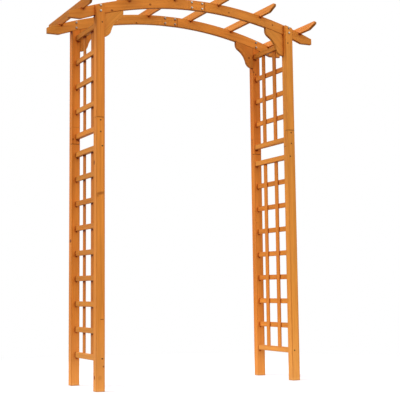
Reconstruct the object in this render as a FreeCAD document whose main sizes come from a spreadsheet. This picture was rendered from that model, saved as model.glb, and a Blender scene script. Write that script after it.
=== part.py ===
import FreeCAD
import Part
import Sketcher
import math
import os
import re

# Garden arch of planed softwood: four two-piece posts, two spliced arched beams,
# six notched rafters, four ogee brackets and two slatted side panels.
# Millimetres, +Z up, front at -Y, origin on the ground at the middle of the four posts.

SIZES = {
    # Posts: square section, outer sizes of the frame they stand on.
    "outer_width": 1240.0,
    "outer_depth": 446.0,
    "post_side": 48.0,
    # Half-lap that joins the lower and the upper length of a post.
    "lap_middle_height": 1401.0,
    "lap_length": 94.0,
    "lap_screw_spacing": 64.0,
    # Arched beams: concentric upper and lower edges, tails past the posts.
    "crown_height": 2167.0,
    "arch_radius": 2080.0,
    "beam_deep": 57.0,
    "beam_thick": 22.0,
    "tail_overhang": 150.0,
    "tail_end_high": 34.0,
    "post_top_drop": 6.0,
    # Crown half-lap and the bolts of the beams.
    "splice_length": 98.0,
    "splice_bolt_spacing_long": 66.0,
    "beam_bolt_spacing_high": 31.0,
    # Rafters: spread along the arch, square to it, notched over both beams.
    "end_rafter_inset": 81.5,
    "rafter_long": 718.0,
    "rafter_high": 45.0,
    "rafter_thick": 15.0,
    "rafter_notch": 8.0,
    "rafter_bevel_long": 50.0,
    "rafter_bevel_high": 26.0,
    "rafter_corner_round": 13.0,
    "notch_play": 0.5,
    # Ogee brackets between post and beam.
    "bracket_reach": 120.0,
    "bracket_drop": 128.5,
    "bracket_thick": 20.0,
    "bracket_nose_edge": 17.0,
    "bracket_nose_round": 41.0,
    "bracket_sweep_round": 118.0,
    "bracket_toe_round": 47.0,
    "bracket_toe_flat": 2.0,
    "bracket_post_screw_rise": 30.0,
    "bracket_beam_screw_inset": 22.0,
    "bracket_screw_bed": 16.0,
    # Side panels: rails, rungs and slats between the front and the rear post.
    "rail_set_back": 22.0,
    "rail_thick": 22.0,
    "rail_high": 30.0,
    "lower_rail_height": 169.5,
    "waist_rail_height": 1292.5,
    "upper_rail_height": 1396.8,
    "top_rail_drop": 48.6,
    "rung_high": 29.0,
    "rung_thick": 11.0,
    "rung_housing": 8.0,
    "lower_rung_count": 7,
    "upper_rung_count": 3,
    "slat_wide": 36.0,
    "slat_thick": 6.0,
    "slat_offset": 64.0,
    "slat_housing": 6.0,
    "housing_play": 0.2,
    # Bolts, washers and nuts.
    "bolt_wide": 6.0,
    "bolt_head_flats": 10.0,
    "bolt_head_high": 4.0,
    "post_bolt_long": 60.0,
    "splice_bolt_long": 35.0,
    "bolt_hole_play": 0.25,
    "washer_wide": 12.0,
    "washer_thick": 1.6,
    "washer_play": 0.2,
    "nut_high": 5.0,
    "thread_play": 0.05,
    # Countersunk wood screws: short ones for laps and brackets, long ones for rails and rafters.
    "screw_head_wide": 9.0,
    "screw_head_deep": 3.0,
    "screw_shank_wide": 4.5,
    "screw_tip_long": 6.0,
    "screw_sink": 0.6,
    "screw_play": 0.05,
    "screw_bore_long": 60.0,
    "short_screw_long": 42.0,
    "long_screw_long": 80.0,
}

FRONT = -1
REAR = 1
LEFT = -1
RIGHT = 1
SIDE_NAMES = {LEFT: "left", RIGHT: "right"}
END_NAMES = {FRONT: "front", REAR: "rear"}
HALF_TURN = 180.0
QUARTER_TURN = 90.0
HEX_CORNERS = 6

doc = FreeCAD.newDocument("garden_arch")
sheet = doc.addObject("Spreadsheet::Sheet", "sizes")
for row, (alias, size) in enumerate(SIZES.items(), start=1):
    sheet.set("A%d" % row, alias)
    sheet.set("B%d" % row, str(size))
    sheet.setAlias("B%d" % row, alias)
doc.recompute()

WORDS = re.compile(r"\b(" + "|".join(SIZES) + r")\b")

# Positions that several pieces share, written with the names of the sizes.
POST_X = "(outer_width / 2 - post_side / 2)"
POST_INNER_X = "(outer_width / 2 - post_side)"
POST_Y = "(outer_depth / 2 - post_side / 2)"
POST_INNER_Y = "(outer_depth / 2 - post_side)"
LAP_LOW = "(lap_middle_height - lap_length / 2)"
LAP_HIGH = "(lap_middle_height + lap_length / 2)"
BEAM_Y = "(outer_depth / 2 - post_side + beam_thick / 2)"
BRACKET_Y = "(outer_depth / 2 - post_side + bracket_thick / 2)"
BEAM_INNER_RADIUS = "(arch_radius - beam_deep)"
RAIL_INSET = "(rail_set_back + rail_thick / 2)"
RUNG_INSET = "(rail_set_back + rung_thick / 2)"
SLAT_INSET = "(rail_set_back + rung_thick + slat_thick / 2)"
CROWN_MIDDLE = "(crown_height - beam_deep / 2)"
ARCH_CENTRE = "(crown_height - arch_radius)"
TAIL_X = "(outer_width / 2 + tail_overhang)"


def bound(text):
    """Expression with every size name pointing at its cell."""
    return WORDS.sub(r"sizes.\1", text)


def number(text):
    """Value that an expression has with the present sizes."""
    result = sheet.evalExpression(bound(text))
    return float(getattr(result, "Value", result))


def arch_height(radius, across):
    """Height of a circle about the arch centre at a distance from the middle plane."""
    return "(%s + sqrt(%s * %s - %s * %s))" % (ARCH_CENTRE, radius, radius, across, across)


POST_BEAM_MIDDLE = "((%s + %s) / 2)" % (
    arch_height("arch_radius", POST_X),
    arch_height(BEAM_INNER_RADIUS, POST_X),
)
TAIL_FLAT_Z = "(%s - tail_end_high)" % arch_height("arch_radius", TAIL_X)
TOP_RAIL_Z = "(%s - top_rail_drop)" % arch_height(BEAM_INNER_RADIUS, POST_X)


def bind(thing, path, text):
    """Tie one property of an object to the sizes."""
    thing.setExpression(path, bound(text))


def new_body(label):
    """Empty body for one piece of wood or one fastener."""
    body = doc.addObject("PartDesign::Body", label)
    body.Label = label
    return body


def new_sketch(body, name, role, offset="0"):
    """Sketch on one of the body's own planes, moved along the plane's normal."""
    sketch = body.newObject("Sketcher::SketchObject", name)
    support = [plane for plane in body.Origin.OriginFeatures if plane.Role == role]
    sketch.AttachmentSupport = [(support[0], "")]
    sketch.MapMode = "FlatFace"
    bind(sketch, "AttachmentOffset.Base.z", offset)
    return sketch


def pin(sketch, kind, where, text):
    """Dimension a point from the sketch's origin by an expression."""
    index = sketch.addConstraint(Sketcher.Constraint(kind, -1, 1, where[0], where[1], number(text)))
    bind(sketch, "Constraints[%d]" % index, text)


def size_radius(sketch, curve, text):
    """Dimension the radius of a circle or an arc by an expression."""
    index = sketch.addConstraint(Sketcher.Constraint("Radius", curve, number(text)))
    bind(sketch, "Constraints[%d]" % index, text)


def join(sketch, first, second):
    """Close two ends of a profile."""
    sketch.addConstraint(Sketcher.Constraint("Coincident", first[0], first[1], second[0], second[1]))


def add_outline(sketch, corners):
    """Closed run of straight lines through corners given as pairs of expressions."""
    points = [FreeCAD.Vector(number(across), number(up), 0) for across, up in corners]
    first = sketch.GeometryCount
    count = len(points)
    for index in range(count):
        sketch.addGeometry(Part.LineSegment(points[index], points[(index + 1) % count]))
    for index in range(count):
        join(sketch, (first + index, 2), (first + (index + 1) % count, 1))
    for index, (across, up) in enumerate(corners):
        pin(sketch, "DistanceX", (first + index, 1), across)
        pin(sketch, "DistanceY", (first + index, 1), up)


def add_rectangle(sketch, middle, across, up):
    """Rectangle about a middle point, all as expressions."""
    left = "%s - %s / 2" % (middle[0], across)
    right = "%s + %s / 2" % (middle[0], across)
    low = "%s - %s / 2" % (middle[1], up)
    high = "%s + %s / 2" % (middle[1], up)
    add_outline(sketch, [(left, low), (right, low), (right, high), (left, high)])


def add_circle(sketch, radius):
    """Circle about the sketch's origin."""
    circle = Part.Circle(FreeCAD.Vector(0, 0, 0), FreeCAD.Vector(0, 0, 1), number(radius))
    curve = sketch.addGeometry(circle)
    join(sketch, (curve, 3), (-1, 1))
    size_radius(sketch, curve, radius)


def add_arc(sketch, centre, radius, start, end):
    """Arc drawn counter-clockwise from start to end about a centre, all as numbers."""
    middle = FreeCAD.Vector(centre[0], centre[1], 0)
    circle = Part.Circle(middle, FreeCAD.Vector(0, 0, 1), radius)
    begin = math.atan2(start[1] - centre[1], start[0] - centre[0])
    finish = math.atan2(end[1] - centre[1], end[0] - centre[0])
    if finish < begin:
        finish += 2 * math.pi
    return sketch.addGeometry(Part.ArcOfCircle(circle, begin, finish))


def add_line(sketch, start, end):
    """Straight line between two points given as numbers."""
    return sketch.addGeometry(Part.LineSegment(FreeCAD.Vector(*start, 0), FreeCAD.Vector(*end, 0)))


def pad(body, sketch, name, length, symmetric=True, reverse=False):
    """Board or bar of a profile, by default to both sides of its sketch."""
    feature = body.newObject("PartDesign::Pad", name)
    feature.Profile = sketch
    feature.SideType = "Symmetric" if symmetric else "One side"
    feature.Reversed = reverse
    bind(feature, "Length", length)
    sketch.Visibility = False
    return feature


def pocket(body, sketch, name, depth, reverse=False):
    """Recess cut from the sketch's plane into the wood."""
    feature = body.newObject("PartDesign::Pocket", name)
    feature.Profile = sketch
    feature.Reversed = reverse
    bind(feature, "Length", depth)
    sketch.Visibility = False
    return feature


def place(thing, across="0", along="0", up="0", axis=(0, 0, 1), angle=0.0, angle_text=None):
    """Position of a piece in the shared frame, tied to the sizes."""
    turn = FreeCAD.Rotation(FreeCAD.Vector(*axis), angle)
    thing.Placement = FreeCAD.Placement(FreeCAD.Vector(0, 0, 0), turn)
    bind(thing, "Placement.Base.x", across)
    bind(thing, "Placement.Base.y", along)
    bind(thing, "Placement.Base.z", up)
    if angle_text:
        bind(thing, "Placement.Rotation.Angle", angle_text)


boards = {}
drilled = {}


def keep(label, body):
    """Enter a piece of wood under its name, ready to be drilled."""
    boards[label] = body
    drilled[label] = []


def facing(end):
    """Turn about the upright that makes a front piece into a rear one."""
    return HALF_TURN if end == REAR else 0.0


# Posts. In a post's own frame the outside is at -Y and its foot is at the origin.


def lower_post(side, end):
    """Lower post length: full section, then a tongue on the outside for the lap."""
    label = "post_lower_%s_%s" % (END_NAMES[end], SIDE_NAMES[side])
    body = new_body(label + "_blank")
    inward = -side if end == FRONT else side
    profile = new_sketch(body, label + "_profile", "YZ_Plane")
    outside, inside = "-post_side / 2", "post_side / 2"
    add_outline(profile, [(outside, "0"), (inside, "0"), (inside, LAP_LOW), ("0", LAP_LOW),
                          ("0", LAP_HIGH), (outside, LAP_HIGH)])
    pad(body, profile, label + "_pad", "post_side")
    house_rungs(body, label, inward, "lower_rail_height", "waist_rail_height", "lower_rung_count")
    place(body, "%d * %s" % (side, POST_X), "%d * %s" % (end, POST_Y), angle=facing(end))
    keep(label, body)


def upper_post(side, end):
    """Upper post length: tongue on the inside, rebate for the beam, top cut to the arch."""
    label = "post_upper_%s_%s" % (END_NAMES[end], SIDE_NAMES[side])
    body = new_body(label + "_blank")
    inward = -side if end == FRONT else side
    rough_top = "crown_height"
    profile = new_sketch(body, label + "_profile", "YZ_Plane")
    outside, inside = "-post_side / 2", "post_side / 2"
    add_outline(profile, [("0", LAP_LOW), (inside, LAP_LOW), (inside, rough_top),
                          (outside, rough_top), (outside, LAP_HIGH), ("0", LAP_HIGH)])
    pad(body, profile, label + "_pad", "post_side")
    trim = new_sketch(body, label + "_top", "XZ_Plane", "-post_side / 2")
    add_above_arch(trim, inward, "(arch_radius - post_top_drop)")
    pocket(body, trim, label + "_top_cut", "post_side", reverse=True)
    rebate = new_sketch(body, label + "_rebate", "XZ_Plane", "-post_side / 2")
    add_above_arch(rebate, inward, BEAM_INNER_RADIUS)
    pocket(body, rebate, label + "_rebate_cut", "beam_thick", reverse=True)
    house_rungs(body, label, inward, "upper_rail_height", TOP_RAIL_Z, "upper_rung_count")
    place(body, "%d * %s" % (side, POST_X), "%d * %s" % (end, POST_Y), angle=facing(end))
    keep(label, body)


def add_above_arch(sketch, inward, radius):
    """Region of a post above a circle about the arch centre."""
    centre_x = "%d * %s" % (inward, POST_X)
    high = "(crown_height + post_side)"
    middle = (number(centre_x), number(ARCH_CENTRE))
    reach = number(radius)
    ends = []
    for across in (number("post_side"), -number("post_side")):
        ends.append((across, middle[1] + math.sqrt(reach ** 2 - (across - middle[0]) ** 2)))
    top = number(high)
    arc = add_arc(sketch, middle, reach, ends[0], ends[1])
    left = add_line(sketch, ends[1], (ends[1][0], top))
    lid = add_line(sketch, (ends[1][0], top), (ends[0][0], top))
    right = add_line(sketch, (ends[0][0], top), ends[0])
    join(sketch, (arc, 2), (left, 1))
    join(sketch, (left, 2), (lid, 1))
    join(sketch, (lid, 2), (right, 1))
    join(sketch, (right, 2), (arc, 1))
    size_radius(sketch, arc, radius)
    pin(sketch, "DistanceX", (arc, 3), centre_x)
    pin(sketch, "DistanceY", (arc, 3), ARCH_CENTRE)
    pin(sketch, "DistanceX", (arc, 1), "post_side")
    pin(sketch, "DistanceX", (arc, 2), "-post_side")
    pin(sketch, "DistanceX", (lid, 1), "-post_side")
    pin(sketch, "DistanceY", (lid, 1), high)
    pin(sketch, "DistanceX", (lid, 2), "post_side")
    pin(sketch, "DistanceY", (lid, 2), high)


def house_rungs(body, label, inward, low, high, count):
    """Row of shallow housings for the rung ends on a post's inner face."""
    step = "((%s - %s) / (%s + 1))" % (high, low, count)
    sketch = new_sketch(body, label + "_housing", "XZ_Plane", "-post_side / 2")
    middle = ("%d * (%s - post_side / 2)" % (inward, RUNG_INSET), "(%s + %s)" % (low, step))
    add_rectangle(sketch, middle, "(rung_thick + housing_play)", "(rung_high + housing_play)")
    first = pocket(body, sketch, label + "_housing_cut", "rung_housing", reverse=True)
    row = body.newObject("PartDesign::LinearPattern", label + "_housing_row")
    row.Originals = [first]
    row.Direction = (sketch, ["V_Axis"])
    bind(row, "Length", "%s * (%s - 1)" % (step, count))
    bind(row, "Occurrences", count)
    body.Tip = row


for side in (LEFT, RIGHT):
    for end in (FRONT, REAR):
        lower_post(side, end)
        upper_post(side, end)


# Arched beams. All four halves are the same piece, drawn as the right half with its
# crown tongue at +Y and turned about the upright for the left ones.


def arch_half(side, end):
    """Half of an arched beam: concentric edges, flat-bottomed tail, half-lap at the crown."""
    label = "arch_half_%s_%s" % (END_NAMES[end], SIDE_NAMES[side])
    body = new_body(label + "_blank")
    sketch = new_sketch(body, label + "_profile", "XZ_Plane")
    add_arch_outline(sketch)
    pad(body, sketch, label + "_pad", "beam_thick")
    lap = new_sketch(body, label + "_lap", "XZ_Plane")
    half_lap, deep = "splice_length / 2", "beam_deep"
    low = "(crown_height - 2 * %s)" % deep
    high = "(crown_height + %s)" % deep
    beyond = "-splice_length"
    add_outline(lap, [(beyond, low), (half_lap, low), (half_lap, high), (beyond, high)])
    pocket(body, lap, label + "_lap_cut", "beam_thick", reverse=True)
    turn = HALF_TURN if side == LEFT else 0.0
    place(body, "0", "%d * %s" % (end, BEAM_Y), angle=turn)
    keep(label, body)


def add_arch_outline(sketch):
    """Side view of the right half of a beam, from the crown tongue to the tail."""
    outer, inner = number("arch_radius"), number(BEAM_INNER_RADIUS)
    middle = (0.0, number(ARCH_CENTRE))
    tongue, tail = -number("splice_length") / 2, number(TAIL_X)
    flat = number(TAIL_FLAT_Z)
    flat_in = math.sqrt(inner ** 2 - (flat - middle[1]) ** 2)
    crown_top = (tongue, middle[1] + math.sqrt(outer ** 2 - tongue ** 2))
    crown_low = (tongue, middle[1] + math.sqrt(inner ** 2 - tongue ** 2))
    tail_top = (tail, middle[1] + math.sqrt(outer ** 2 - tail ** 2))
    top = add_arc(sketch, middle, outer, tail_top, crown_top)
    crown = add_line(sketch, crown_top, crown_low)
    low = add_arc(sketch, middle, inner, (flat_in, flat), crown_low)
    under = add_line(sketch, (flat_in, flat), (tail, flat))
    face = add_line(sketch, (tail, flat), tail_top)
    join(sketch, (top, 2), (crown, 1))
    join(sketch, (crown, 2), (low, 2))
    join(sketch, (low, 1), (under, 1))
    join(sketch, (under, 2), (face, 1))
    join(sketch, (face, 2), (top, 1))
    size_radius(sketch, top, "arch_radius")
    size_radius(sketch, low, BEAM_INNER_RADIUS)
    join(sketch, (top, 3), (low, 3))
    pin(sketch, "DistanceX", (top, 3), "0")
    pin(sketch, "DistanceY", (top, 3), ARCH_CENTRE)
    pin(sketch, "DistanceX", (top, 2), "-splice_length / 2")
    pin(sketch, "DistanceX", (low, 2), "-splice_length / 2")
    pin(sketch, "DistanceX", (top, 1), TAIL_X)
    pin(sketch, "DistanceX", (under, 2), TAIL_X)
    pin(sketch, "DistanceY", (under, 2), TAIL_FLAT_Z)
    pin(sketch, "DistanceY", (under, 1), TAIL_FLAT_Z)


for side in (LEFT, RIGHT):
    for end in (FRONT, REAR):
        arch_half(side, end)


# Rafters. In a rafter's own frame it runs along Y with its underside at zero height.

RAFTER_STEPS = (-2.5, -1.5, -0.5, 0.5, 1.5, 2.5)
END_RAFTER_ANGLE = "asin((%s - end_rafter_inset) / arch_radius)" % TAIL_X


def rafter_angle(step):
    """Lean of a rafter: equal steps along the arch, the last ones set in from the tails."""
    return "(%s * %s / %s)" % (step, END_RAFTER_ANGLE, RAFTER_STEPS[-1])


def rafter(order, step):
    """Rafter: bevelled lower ends, rounded upper corners, one notch over each beam."""
    label = "rafter_%d" % order
    body = new_body(label + "_blank")
    sketch = new_sketch(body, label + "_profile", "YZ_Plane")
    tip, bevel = "rafter_long / 2", "(rafter_long / 2 - rafter_bevel_long)"
    notch_in = "(%s - beam_thick / 2 - notch_play)" % BEAM_Y
    notch_out = "(%s + beam_thick / 2 + notch_play)" % BEAM_Y
    half = [(notch_in, "0"), (notch_in, "rafter_notch"), (notch_out, "rafter_notch"), (notch_out, "0"),
            (bevel, "0"), (tip, "rafter_bevel_high"), (tip, "rafter_high")]
    mirrored = [("-1 * " + along, up) for along, up in reversed(half)]
    add_outline(sketch, half + mirrored)
    board = pad(body, sketch, label + "_pad", "rafter_thick")
    doc.recompute()
    rounding = body.newObject("PartDesign::Fillet", label + "_round")
    rounding.Base = (board, upper_end_edges(board.Shape))
    bind(rounding, "Radius", "rafter_corner_round")
    angle = rafter_angle(step)
    seat = "(arch_radius - rafter_notch)"
    place(body, "%s * sin%s" % (seat, angle), "0", "%s + %s * cos%s" % (ARCH_CENTRE, seat, angle),
          axis=(0, 1, 0), angle=number(angle), angle_text=angle)
    keep(label, body)


def upper_end_edges(shape):
    """Names of the two cross edges at the upper corners of a rafter's ends."""
    top, tip = number("rafter_high"), number("rafter_long / 2")
    names = []
    for index, edge in enumerate(shape.Edges, start=1):
        middle = edge.CenterOfMass
        if abs(middle.z - top) < 0.01 and abs(abs(middle.y) - tip) < 0.01:
            names.append("Edge%d" % index)
    return names


for order, step in enumerate(RAFTER_STEPS, start=1):
    rafter(order, step)


# Brackets. Drawn for the right side and turned about the upright for the left one.


def bracket(side, end):
    """Ogee bracket under the beam, against the post's inner side."""
    label = "bracket_%s_%s" % (END_NAMES[end], SIDE_NAMES[side])
    body = new_body(label + "_blank")
    sketch = new_sketch(body, label + "_profile", "XZ_Plane")
    add_bracket_outline(sketch)
    pad(body, sketch, label + "_pad", "bracket_thick")
    turn = HALF_TURN if side == LEFT else 0.0
    place(body, "0", "%d * %s" % (end, BRACKET_Y), angle=turn)
    keep(label, body)


BRACKET_NOSE_X = "(%s - bracket_reach)" % POST_INNER_X
BRACKET_TOE_Z = "(%s - bracket_drop)" % arch_height(BEAM_INNER_RADIUS, POST_INNER_X)
BRACKET_NOSE_Z = "(%s - bracket_nose_edge)" % arch_height(BEAM_INNER_RADIUS, BRACKET_NOSE_X)


def add_bracket_outline(sketch):
    """Nose edge, convex nose, hollow sweep, convex toe and a short flat against the post."""
    inner, middle = number(BEAM_INNER_RADIUS), (0.0, number(ARCH_CENTRE))
    post_x, nose_x = number(POST_INNER_X), number(BRACKET_NOSE_X)
    nose_z, toe_z = number(BRACKET_NOSE_Z), number(BRACKET_TOE_Z)
    nose_r, sweep_r = number("bracket_nose_round"), number("bracket_sweep_round")
    toe_r, toe_x = number("bracket_toe_round"), post_x - number("bracket_toe_flat")
    nose_c = FreeCAD.Vector(nose_x + nose_r, nose_z, 0)
    toe_c = FreeCAD.Vector(toe_x, toe_z + toe_r, 0)
    sweep_c = outer_meeting(nose_c, nose_r + sweep_r, toe_c, toe_r + sweep_r)
    turn_in = nose_c + (sweep_c - nose_c).normalize() * nose_r
    turn_out = toe_c + (sweep_c - toe_c).normalize() * toe_r
    post_top = (post_x, middle[1] + math.sqrt(inner ** 2 - post_x ** 2))
    nose_top = (nose_x, middle[1] + math.sqrt(inner ** 2 - nose_x ** 2))
    top = add_arc(sketch, middle, inner, post_top, nose_top)
    edge = add_line(sketch, nose_top, (nose_x, nose_z))
    nose = add_arc(sketch, nose_c, nose_r, (nose_x, nose_z), turn_in)
    sweep = add_arc(sketch, sweep_c, sweep_r, turn_out, turn_in)
    toe = add_arc(sketch, toe_c, toe_r, turn_out, (toe_x, toe_z))
    foot = add_line(sketch, (toe_x, toe_z), (post_x, toe_z))
    back = add_line(sketch, (post_x, toe_z), post_top)
    join(sketch, (top, 2), (edge, 1))
    join(sketch, (foot, 2), (back, 1))
    join(sketch, (back, 2), (top, 1))
    smooth_joins = [(edge, 2, nose, 1), (nose, 2, sweep, 2), (sweep, 1, toe, 1), (toe, 2, foot, 1)]
    for first, first_end, second, second_end in smooth_joins:
        sketch.addConstraint(Sketcher.Constraint("Tangent", first, first_end, second, second_end))
    size_radius(sketch, top, BEAM_INNER_RADIUS)
    size_radius(sketch, nose, "bracket_nose_round")
    size_radius(sketch, sweep, "bracket_sweep_round")
    size_radius(sketch, toe, "bracket_toe_round")
    pin(sketch, "DistanceX", (top, 3), "0")
    pin(sketch, "DistanceY", (top, 3), ARCH_CENTRE)
    pin(sketch, "DistanceX", (top, 1), POST_INNER_X)
    pin(sketch, "DistanceX", (top, 2), BRACKET_NOSE_X)
    pin(sketch, "DistanceX", (edge, 2), BRACKET_NOSE_X)
    pin(sketch, "DistanceY", (edge, 2), BRACKET_NOSE_Z)
    pin(sketch, "DistanceX", (foot, 1), "%s - bracket_toe_flat" % POST_INNER_X)
    pin(sketch, "DistanceX", (foot, 2), POST_INNER_X)
    pin(sketch, "DistanceY", (foot, 2), BRACKET_TOE_Z)
    sketch.addConstraint(Sketcher.Constraint("Horizontal", foot))


def outer_meeting(first, first_reach, second, second_reach):
    """Point at given distances from two points, on the open side of the bracket."""
    between = second - first
    gap = between.Length
    along = (first_reach ** 2 - second_reach ** 2 + gap ** 2) / (2 * gap)
    aside = math.sqrt(first_reach ** 2 - along ** 2)
    run = FreeCAD.Vector(between.x / gap, between.y / gap, 0)
    return first + run * along + FreeCAD.Vector(run.y, -run.x, 0) * aside


for side in (LEFT, RIGHT):
    for end in (FRONT, REAR):
        bracket(side, end)


# Side panels.


def rail(label, side, height, slots_up):
    """Rail between two posts, with two slots that take the slat ends."""
    body = new_body(label + "_blank")
    sketch = new_sketch(body, label + "_profile", "XZ_Plane")
    add_rectangle(sketch, ("0", "0"), "rail_thick", "rail_high")
    pad(body, sketch, label + "_pad", "(2 * %s)" % POST_INNER_Y)
    face = "%d * rail_high / 2" % (1 if slots_up else -1)
    slots = new_sketch(body, label + "_slots", "XY_Plane", face)
    across = "%d * (%s - %s)" % (-side, SLAT_INSET, RAIL_INSET)
    for row in (FRONT, REAR):
        add_rectangle(slots, (across, "%d * slat_offset" % row), "(slat_thick + housing_play)",
                      "(slat_wide + housing_play)")
    pocket(body, slots, label + "_slots_cut", "slat_housing", reverse=not slots_up)
    place(body, "%d * (outer_width / 2 - %s)" % (side, RAIL_INSET), "0", height)
    keep(label, body)


def rung(label, side, height):
    """Rung let into the front and the rear post."""
    body = new_body(label)
    sketch = new_sketch(body, label + "_profile", "XZ_Plane")
    add_rectangle(sketch, ("0", "0"), "rung_thick", "rung_high")
    pad(body, sketch, label + "_pad", "(2 * %s + 2 * rung_housing)" % POST_INNER_Y)
    place(body, "%d * (outer_width / 2 - %s)" % (side, RUNG_INSET), "0", height)
    keep(label, body)


def slat_pair(label, side, low, high):
    """Two upright slats on the inside of the rungs, their ends in the rails."""
    pair = []
    for row in (FRONT, REAR):
        body = new_body("%s_%s" % (label, END_NAMES[row]))
        sketch = new_sketch(body, "%s_%s_profile" % (label, END_NAMES[row]), "XY_Plane")
        add_rectangle(sketch, ("0", "0"), "slat_thick", "slat_wide")
        long = "(%s - %s - rail_high + 2 * slat_housing)" % (high, low)
        pad(body, sketch, "%s_%s_pad" % (label, END_NAMES[row]), long, symmetric=False)
        foot = "%s + rail_high / 2 - slat_housing" % low
        place(body, "%d * (outer_width / 2 - %s)" % (side, SLAT_INSET), "%d * slat_offset" % row, foot)
        pair.append(body)
    both = doc.addObject("Part::Compound", label)
    both.Label = label
    both.Links = pair
    keep(label, both)


SECTIONS = (
    ("lower", "lower_rail_height", "waist_rail_height", "lower_rung_count"),
    ("upper", "upper_rail_height", TOP_RAIL_Z, "upper_rung_count"),
)

for side in (LEFT, RIGHT):
    for section, low, high, count in SECTIONS:
        name = "%s_%s" % (section, SIDE_NAMES[side])
        rail("rail_%s_bottom" % name, side, low, True)
        rail("rail_%s_top" % name, side, high, False)
        for order in range(1, int(number(count)) + 1):
            height = "%s + %d * (%s - %s) / (%s + 1)" % (low, order, high, low, count)
            rung("rung_%s_%d" % (name, order), side, height)
        slat_pair("slats_%s" % name, side, low, high)


# Fasteners. Each points down along -Z from the face its head sits on.


def turned(name, corners):
    """Round piece turned about the upright from half of its side view."""
    body = new_body(name)
    sketch = new_sketch(body, name + "_profile", "XZ_Plane")
    add_outline(sketch, corners)
    feature = body.newObject("PartDesign::Revolution", name + "_turned")
    feature.Profile = sketch
    feature.ReferenceAxis = (sketch, ["V_Axis"])
    sketch.Visibility = False
    return body


def wood_screw(name, length):
    """Countersunk screw with a plain shank and a pointed tip."""
    head, shank = "screw_head_wide / 2", "screw_shank_wide / 2"
    return turned(name, [("0", "0"), (head, "0"), (shank, "-screw_head_deep"),
                         (shank, "screw_tip_long - %s" % length), ("0", "-" + length)])


def screw_hole(name, length):
    """Countersunk hole for a screw, with a bore above the head to reach the surface."""
    head, shank = "(screw_head_wide / 2 + screw_play)", "(screw_shank_wide / 2 + screw_play)"
    return turned(name, [("0", "screw_bore_long"), (head, "screw_bore_long"), (head, "0"),
                         (shank, "-screw_head_deep"), (shank, "screw_tip_long - %s" % length),
                         ("0", "-%s - screw_play" % length)])


def add_hexagon(sketch):
    """Hexagon of the bolt heads and nuts."""
    corners = []
    for corner in range(HEX_CORNERS):
        reach = "bolt_head_flats / sqrt(3)"
        angle = "(%d * 360 deg / %d)" % (corner, HEX_CORNERS)
        corners.append(("%s * cos%s" % (reach, angle), "%s * sin%s" % (reach, angle)))
    add_outline(sketch, corners)


def hex_bolt(name, length):
    """Hexagon-head bolt whose head sits on a washer."""
    body = new_body(name)
    head = new_sketch(body, name + "_head", "XY_Plane", "washer_thick")
    add_hexagon(head)
    pad(body, head, name + "_head_pad", "bolt_head_high", symmetric=False)
    shank = new_sketch(body, name + "_shank", "XY_Plane", "washer_thick")
    add_circle(shank, "bolt_wide / 2")
    pad(body, shank, name + "_shank_pad", length, symmetric=False, reverse=True)
    return body


def bolt_hole(name, length):
    """Clearance hole for a bolt."""
    return turned(name, [("0", "bolt_head_high"), ("bolt_wide / 2 + bolt_hole_play", "bolt_head_high"),
                         ("bolt_wide / 2 + bolt_hole_play", "-" + length), ("0", "-" + length)])


def ring(name, thick, bore):
    """Plain washer, or the bored hexagon of a nut."""
    body = new_body(name)
    sketch = new_sketch(body, name + "_profile", "XY_Plane")
    if thick == "nut_high":
        add_hexagon(sketch)
    else:
        add_circle(sketch, "washer_wide / 2")
    add_circle(sketch, bore)
    pad(body, sketch, name + "_pad", thick, symmetric=False)
    return body


short_screw = wood_screw("short_screw", "short_screw_long")
short_hole = screw_hole("short_screw_hole", "short_screw_long")
long_screw = wood_screw("long_screw", "long_screw_long")
long_hole = screw_hole("long_screw_hole", "long_screw_long")
post_bolt = hex_bolt("post_bolt", "post_bolt_long")
post_hole = bolt_hole("post_bolt_hole", "post_bolt_long")
splice_bolt = hex_bolt("splice_bolt", "splice_bolt_long")
splice_hole = bolt_hole("splice_bolt_hole", "splice_bolt_long")
washer = ring("washer", "washer_thick", "bolt_wide / 2 + washer_play")
nut = ring("nut", "nut_high", "bolt_wide / 2 + thread_play")

groups = {name: [] for name in ("short_screws", "long_screws", "post_bolts", "splice_bolts", "washers", "nuts")}


def copy_of(master, name, spot, axis, angle, angle_text=None):
    """Copy of a fastener or of its hole at a place in the arch."""
    link = doc.addObject("App::Link", name)
    link.LinkedObject = master
    place(link, spot[0], spot[1], spot[2], axis, angle, angle_text)
    return link


def fasten(group, master, hole, spot, axis, angle, pieces, angle_text=None):
    """Set one fastener and drill the pieces that it holds."""
    order = len(groups[group]) + 1
    groups[group].append(copy_of(master, "%s_%d" % (group, order), spot, axis, angle, angle_text))
    drill = copy_of(hole, "%s_hole_%d" % (group, order), spot, axis, angle, angle_text)
    for piece in pieces:
        drilled[piece].append(drill)


def add_hardware(group, master, spot, angle):
    """Set a washer or nut on a bolt that runs along Y."""
    order = len(groups[group]) + 1
    groups[group].append(copy_of(master, "%s_%d" % (group, order), spot, (1, 0, 0), angle))


def bolt_through(group, master, hole, across, faces, up, end, pieces):
    """Bolt along Y with its washers and nut; faces are its outer and inner wood faces."""
    outer, inner = ("%d * %s" % (end, face) for face in faces)
    inward = -end * QUARTER_TURN
    fasten(group, master, hole, (across, outer, up), (1, 0, 0), inward, pieces)
    add_hardware("washers", washer, (across, outer, up), inward)
    add_hardware("washers", washer, (across, inner, up), -inward)
    past = "%d * (%s - washer_thick)" % (end, faces[1])
    add_hardware("nuts", nut, (across, past, up), -inward)


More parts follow.
